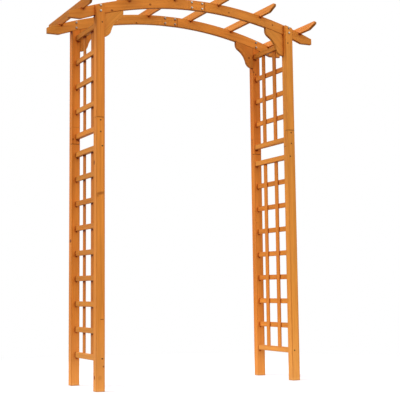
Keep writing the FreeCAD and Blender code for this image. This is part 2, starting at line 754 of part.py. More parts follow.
for side in (LEFT, RIGHT):
    for end in (FRONT, REAR):
        corner = "%s_%s" % (END_NAMES[end], SIDE_NAMES[side])
        lower, upper = "post_lower_" + corner, "post_upper_" + corner
        half, support = "arch_half_" + corner, "bracket_" + corner
        into = -end * QUARTER_TURN
        post_across = "%d * %s" % (side, POST_X)
        sunk_face = "%d * (outer_depth / 2 - screw_sink)" % end
        for step in (-1, 1):
            # Two screws through the lap of the post.
            up = "lap_middle_height + %d * lap_screw_spacing / 2" % step
            fasten("short_screws", short_screw, short_hole, (post_across, sunk_face, up), (1, 0, 0), into,
                   [lower, upper])
            # Two bolts through the post's top and the beam.
            up = "%s + %d * beam_bolt_spacing_high / 2" % (POST_BEAM_MIDDLE, step)
            bolt_through("post_bolts", post_bolt, post_hole, post_across,
                         ("outer_depth / 2", POST_INNER_Y), up, end, [upper, half])
        # One screw through the post into the end of each rail; the one inside the lap
        # starts on the tongue's hidden face.
        rail_across = "%d * (outer_width / 2 - %s)" % (side, RAIL_INSET)
        for section, low, high, count in SECTIONS:
            for place_name, height in (("bottom", low), ("top", high)):
                bar = "rail_%s_%s_%s" % (section, SIDE_NAMES[side], place_name)
                start = sunk_face
                if height == "upper_rail_height":
                    start = "%d * (%s - screw_sink)" % (end, POST_Y)
                fasten("long_screws", long_screw, long_hole, (rail_across, start, height), (1, 0, 0), into,
                       [lower if section == "lower" else upper, bar])
        # Bracket screws: one into the post, one up into the beam.
        level = "%d * %s" % (end, BRACKET_Y)
        bed = "%d * (%s - bracket_screw_bed)" % (side, POST_INNER_X)
        rise = "%s + bracket_post_screw_rise" % BRACKET_TOE_Z
        fasten("short_screws", short_screw, short_hole, (bed, level, rise), (0, 1, 0), -side * QUARTER_TURN,
               [support, upper])
        inset = "(%s + bracket_beam_screw_inset)" % BRACKET_NOSE_X
        under = "%s - bracket_screw_bed" % arch_height(BEAM_INNER_RADIUS, inset)
        fasten("short_screws", short_screw, short_hole, ("%d * %s" % (side, inset), level, under), (1, 0, 0),
               HALF_TURN, [support, half])

for end in (FRONT, REAR):
    # Four bolts through each crown lap.
    halves = ["arch_half_%s_%s" % (END_NAMES[end], SIDE_NAMES[side]) for side in (LEFT, RIGHT)]
    for side in (LEFT, RIGHT):
        for step in (-1, 1):
            across = "%d * splice_bolt_spacing_long / 2" % side
            up = "%s + %d * beam_bolt_spacing_high / 2" % (CROWN_MIDDLE, step)
            bolt_through("splice_bolts", splice_bolt, splice_hole, across,
                         ("(%s + beam_thick)" % POST_INNER_Y, POST_INNER_Y), up, end, halves)
    # One screw from each rafter's top down into the beam.
    for order, step in enumerate(RAFTER_STEPS, start=1):
        angle = rafter_angle(step)
        top = "(arch_radius - rafter_notch + rafter_high - screw_sink)"
        spot = ("%s * sin%s" % (top, angle), "%d * %s" % (end, BEAM_Y),
                "%s + %s * cos%s" % (ARCH_CENTRE, top, angle))
        side = LEFT if step < 0 else RIGHT
        fasten("long_screws", long_screw, long_hole, spot, (0, 1, 0), number(angle),
               ["rafter_%d" % order, "arch_half_%s_%s" % (END_NAMES[end], SIDE_NAMES[side])], angle)

# Finished pieces: the drilled wood and the groups of like fasteners.

nodes = {}
for label, board in boards.items():
    if not drilled[label]:
        nodes[label] = board
        continue
    holes = doc.addObject("Part::Compound", label + "_holes")
    holes.Links = drilled[label]
    piece = doc.addObject("Part::Cut", label)
    piece.Base = board
    piece.Tool = holes
    piece.Label = label
    nodes[label] = piece
for name, members in groups.items():
    group = doc.addObject("Part::Compound", name)
    group.Links = members
    group.Label = name
    nodes[name] = group

doc.recompute()

faults = [thing.Label for thing in doc.Objects if "Invalid" in thing.State or "Error" in thing.State]
for label, node in nodes.items():
    if node.Label != label or node.Shape.isNull() or not node.Shape.isValid():
        faults.append(label)
if faults:
    raise RuntimeError("pieces that did not build: " + ", ".join(faults))

os.makedirs("parts", exist_ok=True)
for label, node in nodes.items():
    node.Shape.exportStep(os.path.join("parts", label + ".step"))
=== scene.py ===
"""Garden arch of stained fir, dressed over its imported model.

Four half-lapped posts carry two arched beams, six rafters lie over the beams, ogee brackets fill
the corners and trellis panels close the sides. Lengths are in metres, +Z is up, and the origin is
the middle of the footprint. Every board is a surface worked out from its sizes, with eased arrises.
"""
import logging
import math
from collections.abc import Callable, Iterable, Sequence
from dataclasses import dataclass, field
from enum import Enum
from itertools import product
from typing import NamedTuple

import bpy
import numpy as np
from mathutils import Matrix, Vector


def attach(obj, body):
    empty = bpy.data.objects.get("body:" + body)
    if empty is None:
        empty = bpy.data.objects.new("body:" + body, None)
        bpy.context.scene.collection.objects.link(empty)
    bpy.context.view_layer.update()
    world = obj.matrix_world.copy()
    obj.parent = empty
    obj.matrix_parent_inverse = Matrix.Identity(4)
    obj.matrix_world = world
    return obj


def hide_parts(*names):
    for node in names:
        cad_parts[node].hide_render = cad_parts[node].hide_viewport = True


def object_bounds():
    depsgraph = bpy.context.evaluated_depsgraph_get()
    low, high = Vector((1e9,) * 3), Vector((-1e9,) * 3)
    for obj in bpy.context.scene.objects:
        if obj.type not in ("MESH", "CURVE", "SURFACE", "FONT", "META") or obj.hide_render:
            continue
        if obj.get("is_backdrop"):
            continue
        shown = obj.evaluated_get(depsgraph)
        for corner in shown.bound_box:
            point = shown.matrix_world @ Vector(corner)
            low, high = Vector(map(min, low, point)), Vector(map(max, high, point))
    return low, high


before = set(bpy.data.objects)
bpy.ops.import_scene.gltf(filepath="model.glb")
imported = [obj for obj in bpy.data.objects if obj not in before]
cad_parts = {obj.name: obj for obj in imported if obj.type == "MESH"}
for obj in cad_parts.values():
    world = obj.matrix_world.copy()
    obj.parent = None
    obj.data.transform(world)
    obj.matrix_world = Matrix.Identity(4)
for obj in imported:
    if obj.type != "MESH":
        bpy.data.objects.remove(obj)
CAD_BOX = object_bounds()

Array = np.ndarray
Socket = bpy.types.NodeSocket
Pair = tuple[float, float]
Point = tuple[float, float, float]
Colour = tuple[float, float, float]
# Section of a board: low a, low b, high a, high b.
Box = tuple[float, float, float, float]
# Middle of a screw head's face, and the way from it to the open air.
Head = tuple[Point, Point]

log = logging.getLogger("garden_arch")

ROOT = "root"
MM = 0.001
ARC_STEPS = 3
LEAST_EASE = 0.2 * MM
SHARP_ANGLE = math.radians(38.0)
# Upright part of a direction from which it counts as steep.
STEEP = 0.9
WHITE = (1.0, 1.0, 1.0)


class Side(Enum):
    """Left or right of the arch, as the sign of X."""

    LEFT = -1
    RIGHT = 1


class End(Enum):
    """Front or rear of the arch, as the sign of Y."""

    FRONT = -1
    REAR = 1


class Corner(NamedTuple):
    """Corner of the arch."""

    side: Side
    end: End

    @property
    def x(self) -> int:
        """Sign of X."""
        return self.side.value

    @property
    def y(self) -> int:
        """Sign of Y."""
        return self.end.value


CORNERS = tuple(Corner(side, end) for side, end in product(Side, End))


class Slot(Enum):
    """Material slots of the part's record."""

    WOOD = "stained_wood"
    ZINC = "zinc_steel"
    SCREW = "screw_steel"


class Axis(Enum):
    """Directions that a straight board can run in."""

    Y = 1
    Z = 2


class Hold(NamedTuple):
    """Point on a flat beside an arris; it keeps the shading of the flat even.

    Args:
        length: distance from the arris.
        share: largest share of the flat that the distance may take.
        wear: how rubbed the board is there.
    """

    length: float
    share: float
    wear: float


NEAR = Hold(0.8 * MM, 0.15, 0.55)
FAR = Hold(6.0 * MM, 0.45, 0.0)
# Room for a rounded end, and the share of it that the near hold may take.
END_ROOM = 2 * FAR.length
END_SHARE = 0.3


class EndStep(NamedTuple):
    """Station of a rounded end: distance from the end face, inset of the section and wear."""

    distance: float
    inset: float
    wear: float


def label(*words: object) -> str:
    """Join words and enum members into one node name."""
    return "_".join(w.name.lower() if isinstance(w, Enum) else str(w) for w in words)


def bearings(around: int) -> Array:
    """Equal steps round a full turn, in radians."""
    return np.linspace(0.0, 2 * math.pi, around, endpoint=False)


@dataclass
class Skin:
    """Closed surface of a piece before it becomes a mesh.

    Args:
        points: corners of the surface, shape (n, 3).
        quads: four-sided faces, shape (m, 4).
        caps: faces with any number of corners.
        wear: rubbed arris at each point, from 0 to 1, or below 0 where stain pools in a seam.
    """

    points: Array
    quads: Array
    caps: list[Array]
    wear: Array

    def volume(self) -> float:
        """Signed volume: the sum over triangles of a . (b x c) / 6.

        Returns:
            The volume, above zero where the faces look outwards.
        """
        fans = [np.stack([np.full(len(c) - 2, c[0]), c[1:-1], c[2:]], axis=1) for c in self.caps]
        tris = np.concatenate([self.quads[:, [0, 1, 2]], self.quads[:, [0, 2, 3]], *fans])
        a, b, c = (self.points[tris[:, i]] for i in range(3))
        return float((a * np.cross(b, c)).sum() / 6.0)

    def outward(self) -> "Skin":
        """The same skin with every face turned outwards.

        Returns:
            This skin, or one with its faces turned round.
        """
        if self.volume() > 0.0:
            return self
        return Skin(self.points, self.quads[:, ::-1], [c[::-1] for c in self.caps], self.wear)

    def seamed(self, where: Array, depth: float = 1.0) -> "Skin":
        """The same skin with stain pooled to a depth at some of its points."""
        return Skin(self.points, self.quads, self.caps, np.where(where, -depth, self.wear))

    def moved(self, place: Callable[[Array], Array]) -> "Skin":
        """The same skin with its points carried through a function."""
        return Skin(place(self.points), self.quads, self.caps, self.wear)


def join(skins: Sequence[Skin]) -> Skin:
    """Gather several closed skins, each turned outwards, into one.

    Args:
        skins: closed skins.

    Returns:
        One skin with all their faces.
    """
    skins = [skin.outward() for skin in skins]
    starts = np.cumsum([0] + [len(skin.points) for skin in skins[:-1]])
    return Skin(
        np.concatenate([skin.points for skin in skins]),
        np.concatenate([skin.quads + start for skin, start in zip(skins, starts)]),
        [cap + start for skin, start in zip(skins, starts) for cap in skin.caps],
        np.concatenate([skin.wear for skin in skins]),
    )


def loft(rings: Array, wear: Array, closed: bool = False) -> Skin:
    """Join rings of points, one after another, with four-sided faces.

    Point (i, j) of the grid meets (i + 1, j) and (i, j + 1), and j wraps round. The first and the
    last ring are capped, or joined to each other where the grid is closed both ways.

    Args:
        rings: grid of points, shape (stations, around, 3).
        wear: wear at each point, shape (stations, around).
        closed: whether the last ring joins the first.

    Returns:
        The closed skin.
    """
    stations, around = rings.shape[:2]
    here = np.arange(stations * around).reshape(stations, around)
    ahead = np.roll(here, -1, axis=0) if closed else here[1:]
    behind = here if closed else here[:-1]
    quads = np.stack([behind, np.roll(behind, -1, 1), np.roll(ahead, -1, 1), ahead], axis=-1)
    caps = [] if closed else [here[0][::-1], here[-1]]
    return Skin(rings.reshape(-1, 3), quads.reshape(-1, 4), caps, wear.reshape(-1))


def eased_end(ease: float, room: float = END_ROOM) -> list[EndStep]:
    """Stations of a rounded end, from the end face inwards.

    Along the board the arris is a quarter circle over t: the distance is ease (1 - cos t) and the
    inset is ease (1 - sin t).

    Args:
        ease: radius of the rounding.
        room: length that the stations may take up.

    Returns:
        The stations; the first is the flat of the end face.
    """
    turn = np.linspace(0.0, math.pi / 2, ARC_STEPS + 1)
    near = ease + min(NEAR.length, END_SHARE * (room - ease))
    far = min(ease + FAR.length, room)
    distance = [0.0, *ease * (1 - np.cos(turn)), near, far]
    inset = [ease + NEAR.length, *ease * (1 - np.sin(turn)), 0.0, 0.0]
    wear = [NEAR.wear, *np.ones(ARC_STEPS + 1), NEAR.wear, FAR.wear]
    return [EndStep(*row) for row in zip(distance, inset, wear)]


def rounded_sections(low: Array, high: Array, ease: Array) -> tuple[Array, Array]:
    """Rounded rectangles, one for each station of a board.

    Each corner is centre + ease (cos t, sin t) over a quarter turn, and each side has two points
    near either end that keep its middle flat.

    Args:
        low: lower corner of each rectangle, shape (stations, 2).
        high: upper corner of each rectangle, shape (stations, 2).
        ease: corner radius at each station.

    Returns:
        Points of shape (stations, around, 2), and the wear round the section.
    """
    points, wear = [], []
    holds = (NEAR, FAR)
    fades = [hold.wear for hold in holds]
    turn = np.linspace(0.0, math.pi / 2, ARC_STEPS + 1)
    free = high - low - 2 * ease[:, None]
    for corner, upper in enumerate(((True, True), (False, True), (False, False), (True, False))):
        centre = np.where(upper, high - ease[:, None], low + ease[:, None])
        angles = turn + corner * math.pi / 2
        circle = np.stack([np.cos(angles), np.sin(angles)], -1)
        curve = centre[:, None] + ease[:, None, None] * circle
        tangents = np.stack([-np.sin(angles), np.cos(angles)], -1)
        sides = (1, 0) if corner % 2 == 0 else (0, 1)
        coming, leaving = (
            [np.minimum(hold.length, hold.share * free[:, side])[:, None] for hold in holds]
            for side in sides)
        before = [curve[:, 0] - reach * tangents[0] for reach in reversed(coming)]
        after = [curve[:, -1] + reach * tangents[-1] for reach in leaving]
        points += [*before, *np.moveaxis(curve, 1, 0), *after]
        wear += [*reversed(fades), *np.ones(ARC_STEPS + 1), *fades]
    return np.stack(points, axis=1), np.array(wear)


@dataclass
class Run:
    """Stations of a board along its length, gathered one after another.

    Args:
        ease: rounding of the long arrises.
        rows: along, low and high corner of the section, inset and wear of each station.
    """

    ease: float
    rows: list[tuple[float, ...]] = field(default_factory=list)

    def add(self, along: float, box: Box, inset: float = 0.0, wear: float = 0.0) -> None:
        """Add one station whose section spans box = (low a, low b, high a, high b)."""
        self.rows.append((along, *box, inset, wear))

    def end(self, along: float, box_at: Callable[[float], Box], inward: int) -> None:
        """Add the stations of a rounded end.

        Args:
            along: place of the end face.
            box_at: section of the board at a place along it.
            inward: way from the end into the board, 1 or -1.
        """
        for step in eased_end(self.ease)[::inward]:
            spot = along + inward * step.distance
            self.add(spot, box_at(spot), step.inset, step.wear)

    def skin(self, place: Callable[[Array, Array, Array], Array]) -> Skin:
        """Loft the stations through a function of along, a and b that gives points in the arch.

        Args:
            place: takes three arrays of shape (stations, around) and returns
                (stations, around, 3).

        Returns:
            The closed skin of the board.
        """
        along, low_a, low_b, high_a, high_b, inset, wear = np.array(self.rows).T
        low = np.stack([low_a, low_b], axis=1) + inset[:, None]
        high = np.stack([high_a, high_b], axis=1) - inset[:, None]
        ease = np.maximum(self.ease - inset, LEAST_EASE)
        sections, around = rounded_sections(low, high, ease)
        along = np.repeat(along[:, None], sections.shape[1], axis=1)
        wear = np.maximum(wear[:, None], around)
        return loft(place(along, sections[..., 0], sections[..., 1]), wear).outward()


def slab(outline: Array, thick: float, ease: float) -> Skin:
    """Board cut to an outline: the outline carried through the thickness, eased at both faces.

    A ring is outline + inset m, where m is the mitre (n1 + n2) / (1 + n1 . n2) of the inward
    normals of the two edges that meet at a point.

    Args:
        outline: corners in turn, anticlockwise, shape (around, 2).
        thick: thickness of the board.
        ease: rounding of the arrises.

    Returns:
        Skin whose points are (through, first, second), with the middle of the thickness at zero.
    """
    ahead = np.roll(outline, -1, axis=0) - outline
    ahead /= np.linalg.norm(ahead, axis=1, keepdims=True)
    leaving = np.stack([-ahead[:, 1], ahead[:, 0]], axis=1)
    coming = np.roll(leaving, 1, axis=0)
    mitre = (leaving + coming) / (1 + (leaving * coming).sum(1, keepdims=True))
    distance, inset, wear = np.array(eased_end(ease, FAR.share * thick)).T
    through = np.concatenate([distance - thick / 2, (thick / 2 - distance)[::-1]])
    inset, wear = (np.concatenate([v, v[::-1]]) for v in (inset, wear))
    flat = outline[None] + inset[:, None, None] * mitre[None]
    depth = np.broadcast_to(through[:, None, None], (*flat.shape[:2], 1))
    rings = np.concatenate([depth, flat], axis=2)
    return loft(rings, np.repeat(wear[:, None], len(outline), axis=1)).outward()


def arc(centre: Sequence[float], start: Sequence[float], stop: Sequence[float],
        steps: int) -> Array:
    """Points on a circle about centre, the short way from start to stop.

    The point at share s is centre + r (cos a, sin a), with a between the two bearings.

    Args:
        centre: centre of the circle.
        start: first point.
        stop: last point.
        steps: number of steps between them.

    Returns:
        Points of shape (steps + 1, 2).
    """
    centre, start, stop = (np.asarray(p, float) for p in (centre, start, stop))
    first, last = (math.atan2(*(p - centre)[::-1]) for p in (start, stop))
    last = first + (last - first + math.pi) % (2 * math.pi) - math.pi
    angles = np.linspace(first, last, steps + 1)
    radius = np.linalg.norm(start - centre)
    return centre + radius * np.stack([np.cos(angles), np.sin(angles)], axis=1)


def straight_board(low: Point, high: Point, axis: Axis, ease: float) -> Skin:
    """Straight board with eased arrises that fills the box from low to high.

    Args:
        low: lower corner of the box.
        high: upper corner of the box.
        axis: direction of the board's length.
        ease: rounding of its arrises.

    Returns:
        The skin of the board in the arch's own frame.
    """
    first, second = (i for i in range(3) if i != axis.value)
    box = (low[first], low[second], high[first], high[second])
    run = Run(ease)
    run.end(low[axis.value], lambda _: box, 1)
    run.end(high[axis.value], lambda _: box, -1)
    order = np.argsort([first, second, axis.value])
    return run.skin(lambda s, a, b: np.stack([a, b, s], -1)[..., order])


@dataclass(frozen=True)
class ArchLine:
    """Circle that the beams, rafters and brackets follow.

    Args:
        centre: height of the circle's centre.
        outer: radius of the beams' upper edge.
        inner: radius of the beams' lower edge.
    """

    centre: float = 0.087
    outer: float = 2.080
    inner: float = 2.023

    def height(self, radius: float, across: Array | float) -> Array:
        """Height of a circle of this radius at a distance across: centre + sqrt(r^2 - x^2)."""
        return self.centre + np.sqrt(radius ** 2 - np.square(across))


@dataclass(frozen=True)
class Bore:
    """Round countersunk hole in a board.

    Args:
        head: middle of the screw head's face.
        out: direction from the head to the open air.
        reach: length of the hole outside the head.
    """

    head: Point
    out: Point
    reach: float = 8.0 * MM

    RADIUS = 4.6 * MM
    BED_RADIUS = 2.3 * MM
    BED = 2.6 * MM
    LIP = 0.4 * MM
    AROUND = 28

    def skin(self) -> Skin:
        """Turned tool: the point at angle t is r (cos t, sin t) at each height of the hole.

        Returns:
            Skin of the tool that cuts the hole.
        """
        radii = np.array([self.BED_RADIUS, self.RADIUS, self.RADIUS])
        heights = np.array([-self.BED, -self.LIP, self.reach])
        return turned(radii, heights, self.AROUND).moved(placer(self.head, self.out))


def placer(spot: Point, up: Sequence[float]) -> Callable[[Array], Array]:
    """Function that stands a piece drawn along +Z at a spot, pointing up a direction.

    Args:
        spot: where the piece's origin goes.
        up: direction that its +Z takes.

    Returns:
        Function from points of the piece to points of the arch.
    """
    up = np.asarray(up, float)
    up /= np.linalg.norm(up)
    helper = np.array([0.0, 0.0, 1.0]) if abs(up[2]) < STEEP else np.array([1.0, 0.0, 0.0])
    first = np.cross(helper, up)
    first /= np.linalg.norm(first)
    axes = np.stack([first, np.cross(up, first), up])
    return lambda points: np.asarray(spot) + points @ axes


def turned(radii: Array, heights: Array, around: int, closed: bool = False) -> Skin:
    """Round piece: r (cos t, sin t) at each height.

    Args:
        radii: radius at each height, or radius at each height and angle.
        heights: height of each ring, or of each point of each ring.
        around: number of points in a ring.
        closed: whether the last ring joins the first, or both are capped.

    Returns:
        Skin about the Z axis.
    """
    angle = bearings(around)[None]
    radii, heights = (np.broadcast_to(v.reshape(len(v), -1), (len(v), around))
                      for v in (radii, heights))
    rings = np.stack([radii * np.cos(angle), radii * np.sin(angle), heights], axis=-1)
    return loft(rings, np.zeros(rings.shape[:2]), closed)


class Ramp(NamedTuple):
    """Smooth step between two values.

    Args:
        low: input up to which the result is start.
        high: input from which the result is stop.
        start: result at the low end.
        stop: result at the high end.
    """

    low: float
    high: float
    start: float = 0.0
    stop: float = 1.0


class Graph:
    """Node tree under construction, with short ways to add and link its nodes."""

    def __init__(self, owner: bpy.types.ID) -> None:
        """Empty the node tree of a material or a world.

        Args:
            owner: the material or world.
        """
        owner.use_nodes = True
        self.tree = owner.node_tree
        self.tree.nodes.clear()

    def add(self, kind: str, feeds: dict[int | str, object] | None = None,
            **settings: object) -> bpy.types.Node:
        """Add a node of a kind, set its properties and feed its inputs.

        Args:
            kind: type of the node.
            feeds: value or output for each input, by index or name.
            settings: properties of the node.

        Returns:
            The new node.
        """
        node = self.tree.nodes.new(kind)
        for name, value in settings.items():
            setattr(node, name, value)
        for key, value in (feeds or {}).items():
            self.feed(node.inputs[key], value)
        return node

    def feed(self, socket: Socket, value: object) -> None:
        """Link an output to a socket, or set a plain value on it.

        Args:
            socket: input to feed.
            value: an output, a number or a row of numbers.
        """
        if isinstance(value, Socket):
            self.tree.links.new(value, socket)
        elif isinstance(value, tuple) and socket.type == "RGBA":
            socket.default_value = (*value, 1.0)
        else:
            socket.default_value = value

    def attribute(self, name: str) -> Socket:
        """Vector of a mesh attribute of the piece."""
        return self.add("ShaderNodeAttribute", attribute_name=name).outputs["Vector"]

    def place(self) -> Socket:
        """Place in the piece's own frame."""
        return self.add("ShaderNodeTexCoord").outputs["Object"]

    def math(self, operation: str, *values: object, clamp: bool = False) -> Socket:
        """Result of a Math node on values or outputs."""
        feeds = dict(enumerate(values))
        return self.add("ShaderNodeMath", feeds, operation=operation, use_clamp=clamp).outputs[0]

    def parts(self, vector: Socket) -> Sequence[Socket]:
        """The three parts of a vector or colour."""
        return self.add("ShaderNodeSeparateXYZ", {0: vector}).outputs

    def vector(self, operation: str, *values: object) -> Sequence[Socket]:
        """Results of a Vector Math node, as a vector and as a number."""
        feeds = dict(enumerate(values))
        return self.add("ShaderNodeVectorMath", feeds, operation=operation).outputs

    def scaled(self, vector: Socket, factors: Point) -> Socket:
        """Vector multiplied by a factor along each axis."""
        return self.vector("MULTIPLY", vector, factors)[0]

    def length(self, vector: Socket) -> Socket:
        """Length of a vector."""
        return self.vector("LENGTH", vector)["Value"]

    def noise(self, vector: Socket, factors: Point, detail: float) -> Socket:
        """Noise stretched by a factor along each axis, about 0.5 in the middle."""
        feeds = {"Vector": self.scaled(vector, factors), "Scale": 1.0, "Detail": detail}
        return self.add("ShaderNodeTexNoise", feeds, noise_dimensions="3D").outputs["Fac"]

    def ramp(self, value: Socket, ramp: Ramp) -> Socket:
        """Value carried through a smooth step.

        Args:
            value: output to carry.
            ramp: the smooth step.

        Returns:
            The result.
        """
        names = ("Value", "From Min", "From Max", "To Min", "To Max")
        feeds = dict(zip(names, (value, *ramp)))
        node = self.add("ShaderNodeMapRange", feeds, interpolation_type="SMOOTHSTEP")
        return node.outputs["Result"]

    def blend(self, share: object, first: object, second: object, mode: str = "MIX") -> Socket:
        """Colour between two colours, or one laid over the other in a mode."""
        feeds = {"Factor": share, 6: first, 7: second}
        return self.add("ShaderNodeMix", feeds, data_type="RGBA", blend_type=mode).outputs[2]

    def seen(self) -> Socket:
        """One for rays from the camera, from gloss or through glass, and zero for the rest.

        Returns:
            Output that tells the rays apart.
        """
        path = self.add("ShaderNodeLightPath")
        total = path.outputs["Is Camera Ray"]
        for name in ("Is Glossy Ray", "Is Transmission Ray"):
            total = self.math("MAXIMUM", total, path.outputs[name])
        return total


class Paint(Graph):
    """Material under construction, with its shader and output."""

    def __init__(self, name: str) -> None:
        """Start a material with a plain shader.

        Args:
            name: name of the material.
        """
        self.material = bpy.data.materials.new(name)
        super().__init__(self.material)
        self.shader = self.add("ShaderNodeBsdfPrincipled")
        self.out = self.add("ShaderNodeOutputMaterial", {"Surface": self.shader.outputs["BSDF"]})

    def coat(self, feeds: dict[str, object]) -> None:
        """Give values or outputs to the shader."""
        for key, value in feeds.items():
            self.feed(self.shader.inputs[key], value)

    def bump(self, height: Socket, strength: float, distance: float) -> None:
        """Raise the shading by a height and give it to the shader."""
        feeds = {"Strength": strength, "Distance": distance, "Height": height}
        self.coat({"Normal": self.add("ShaderNodeBump", feeds).outputs["Normal"]})


@dataclass(frozen=True)
class Knot:
    """Knot at a known spot of a board: an oval lump.

    Args:
        spot: middle of the knot in the arch.
        half: half widths along X, Y and Z, in millimetres.
        depth: how dark it is, from 0 to 1.
        tilt: turn about Y, in degrees.
        firm: share of the half widths that is evenly dark; the rest fades out.
    """

    spot: Point
    half: Point
    depth: float
    tilt: float = 0.0
    firm: float = 0.55


KNOTS_AND_PAINTED_SHADE = (
    Knot((-0.292, -0.197, 2.110), (9.0, 6.0, 8.0), 0.80),
    Knot((0.207, -0.197, 2.120), (7.0, 6.0, 6.5), 0.65),
    Knot((-0.521, -0.197, 2.051), (9.0, 6.0, 6.0), 0.95),
    Knot((0.499, -0.197, 2.078), (5.5, 6.0, 5.5), 0.95),
    Knot((-0.620, -0.188, 1.204), (6.0, 10.0, 16.0), 1.0),
    Knot((-0.598, -0.223, 1.037), (36.0, 9.0, 12.0), 0.70, -14.0, 0.15),
    Knot((-0.613, -0.223, 1.025), (14.0, 9.0, 14.0), 0.45, 0.0, 0.1),
    Knot((-0.588, -0.223, 0.373), (14.0, 6.0, 2.6), 0.95),
    Knot((-0.596, -0.199, 0.100), (60.0, 60.0, 190.0), 0.17, 0.0, 0.1),
    Knot((-0.600, -0.223, 0.072), (19.0, 14.0, 24.0), 0.36, 0.0, 0.1),
    Knot((-0.620, -0.194, 0.072), (6.0, 9.0, 14.0), 1.0),
    Knot((-0.580, -0.223, 0.129), (6.0, 5.0, 6.0), 0.95),
    Knot((-0.620, 0.196, 0.803), (6.0, 16.0, 12.0), 1.0),
    Knot((0.579, 0.175, 0.929), (3.5, 4.0, 3.5), 0.60),
    Knot((0.576, 0.175, 1.874), (5.5, 4.0, 8.0), 0.95),
    Knot((0.590, 0.175, 1.859), (5.5, 4.0, 8.0), 0.85),
    Knot((-0.220, 0.175, 2.104), (7.0, 6.0, 5.5), 1.0),
    Knot((0.544, 0.175, 1.962), (8.0, 6.0, 8.0), 0.90),
    Knot((0.581, 0.056, 1.745), (4.0, 5.0, 9.0), 0.85),
    # Partly painted shade: these two dark spots on the rear left post sit under the end of the rail
    # above, where shade falls.
    Knot((-0.614, 0.175, 1.381), (6.0, 5.0, 7.0), 0.90),
    Knot((-0.581, 0.175, 1.374), (5.5, 5.0, 7.0), 0.85),
)


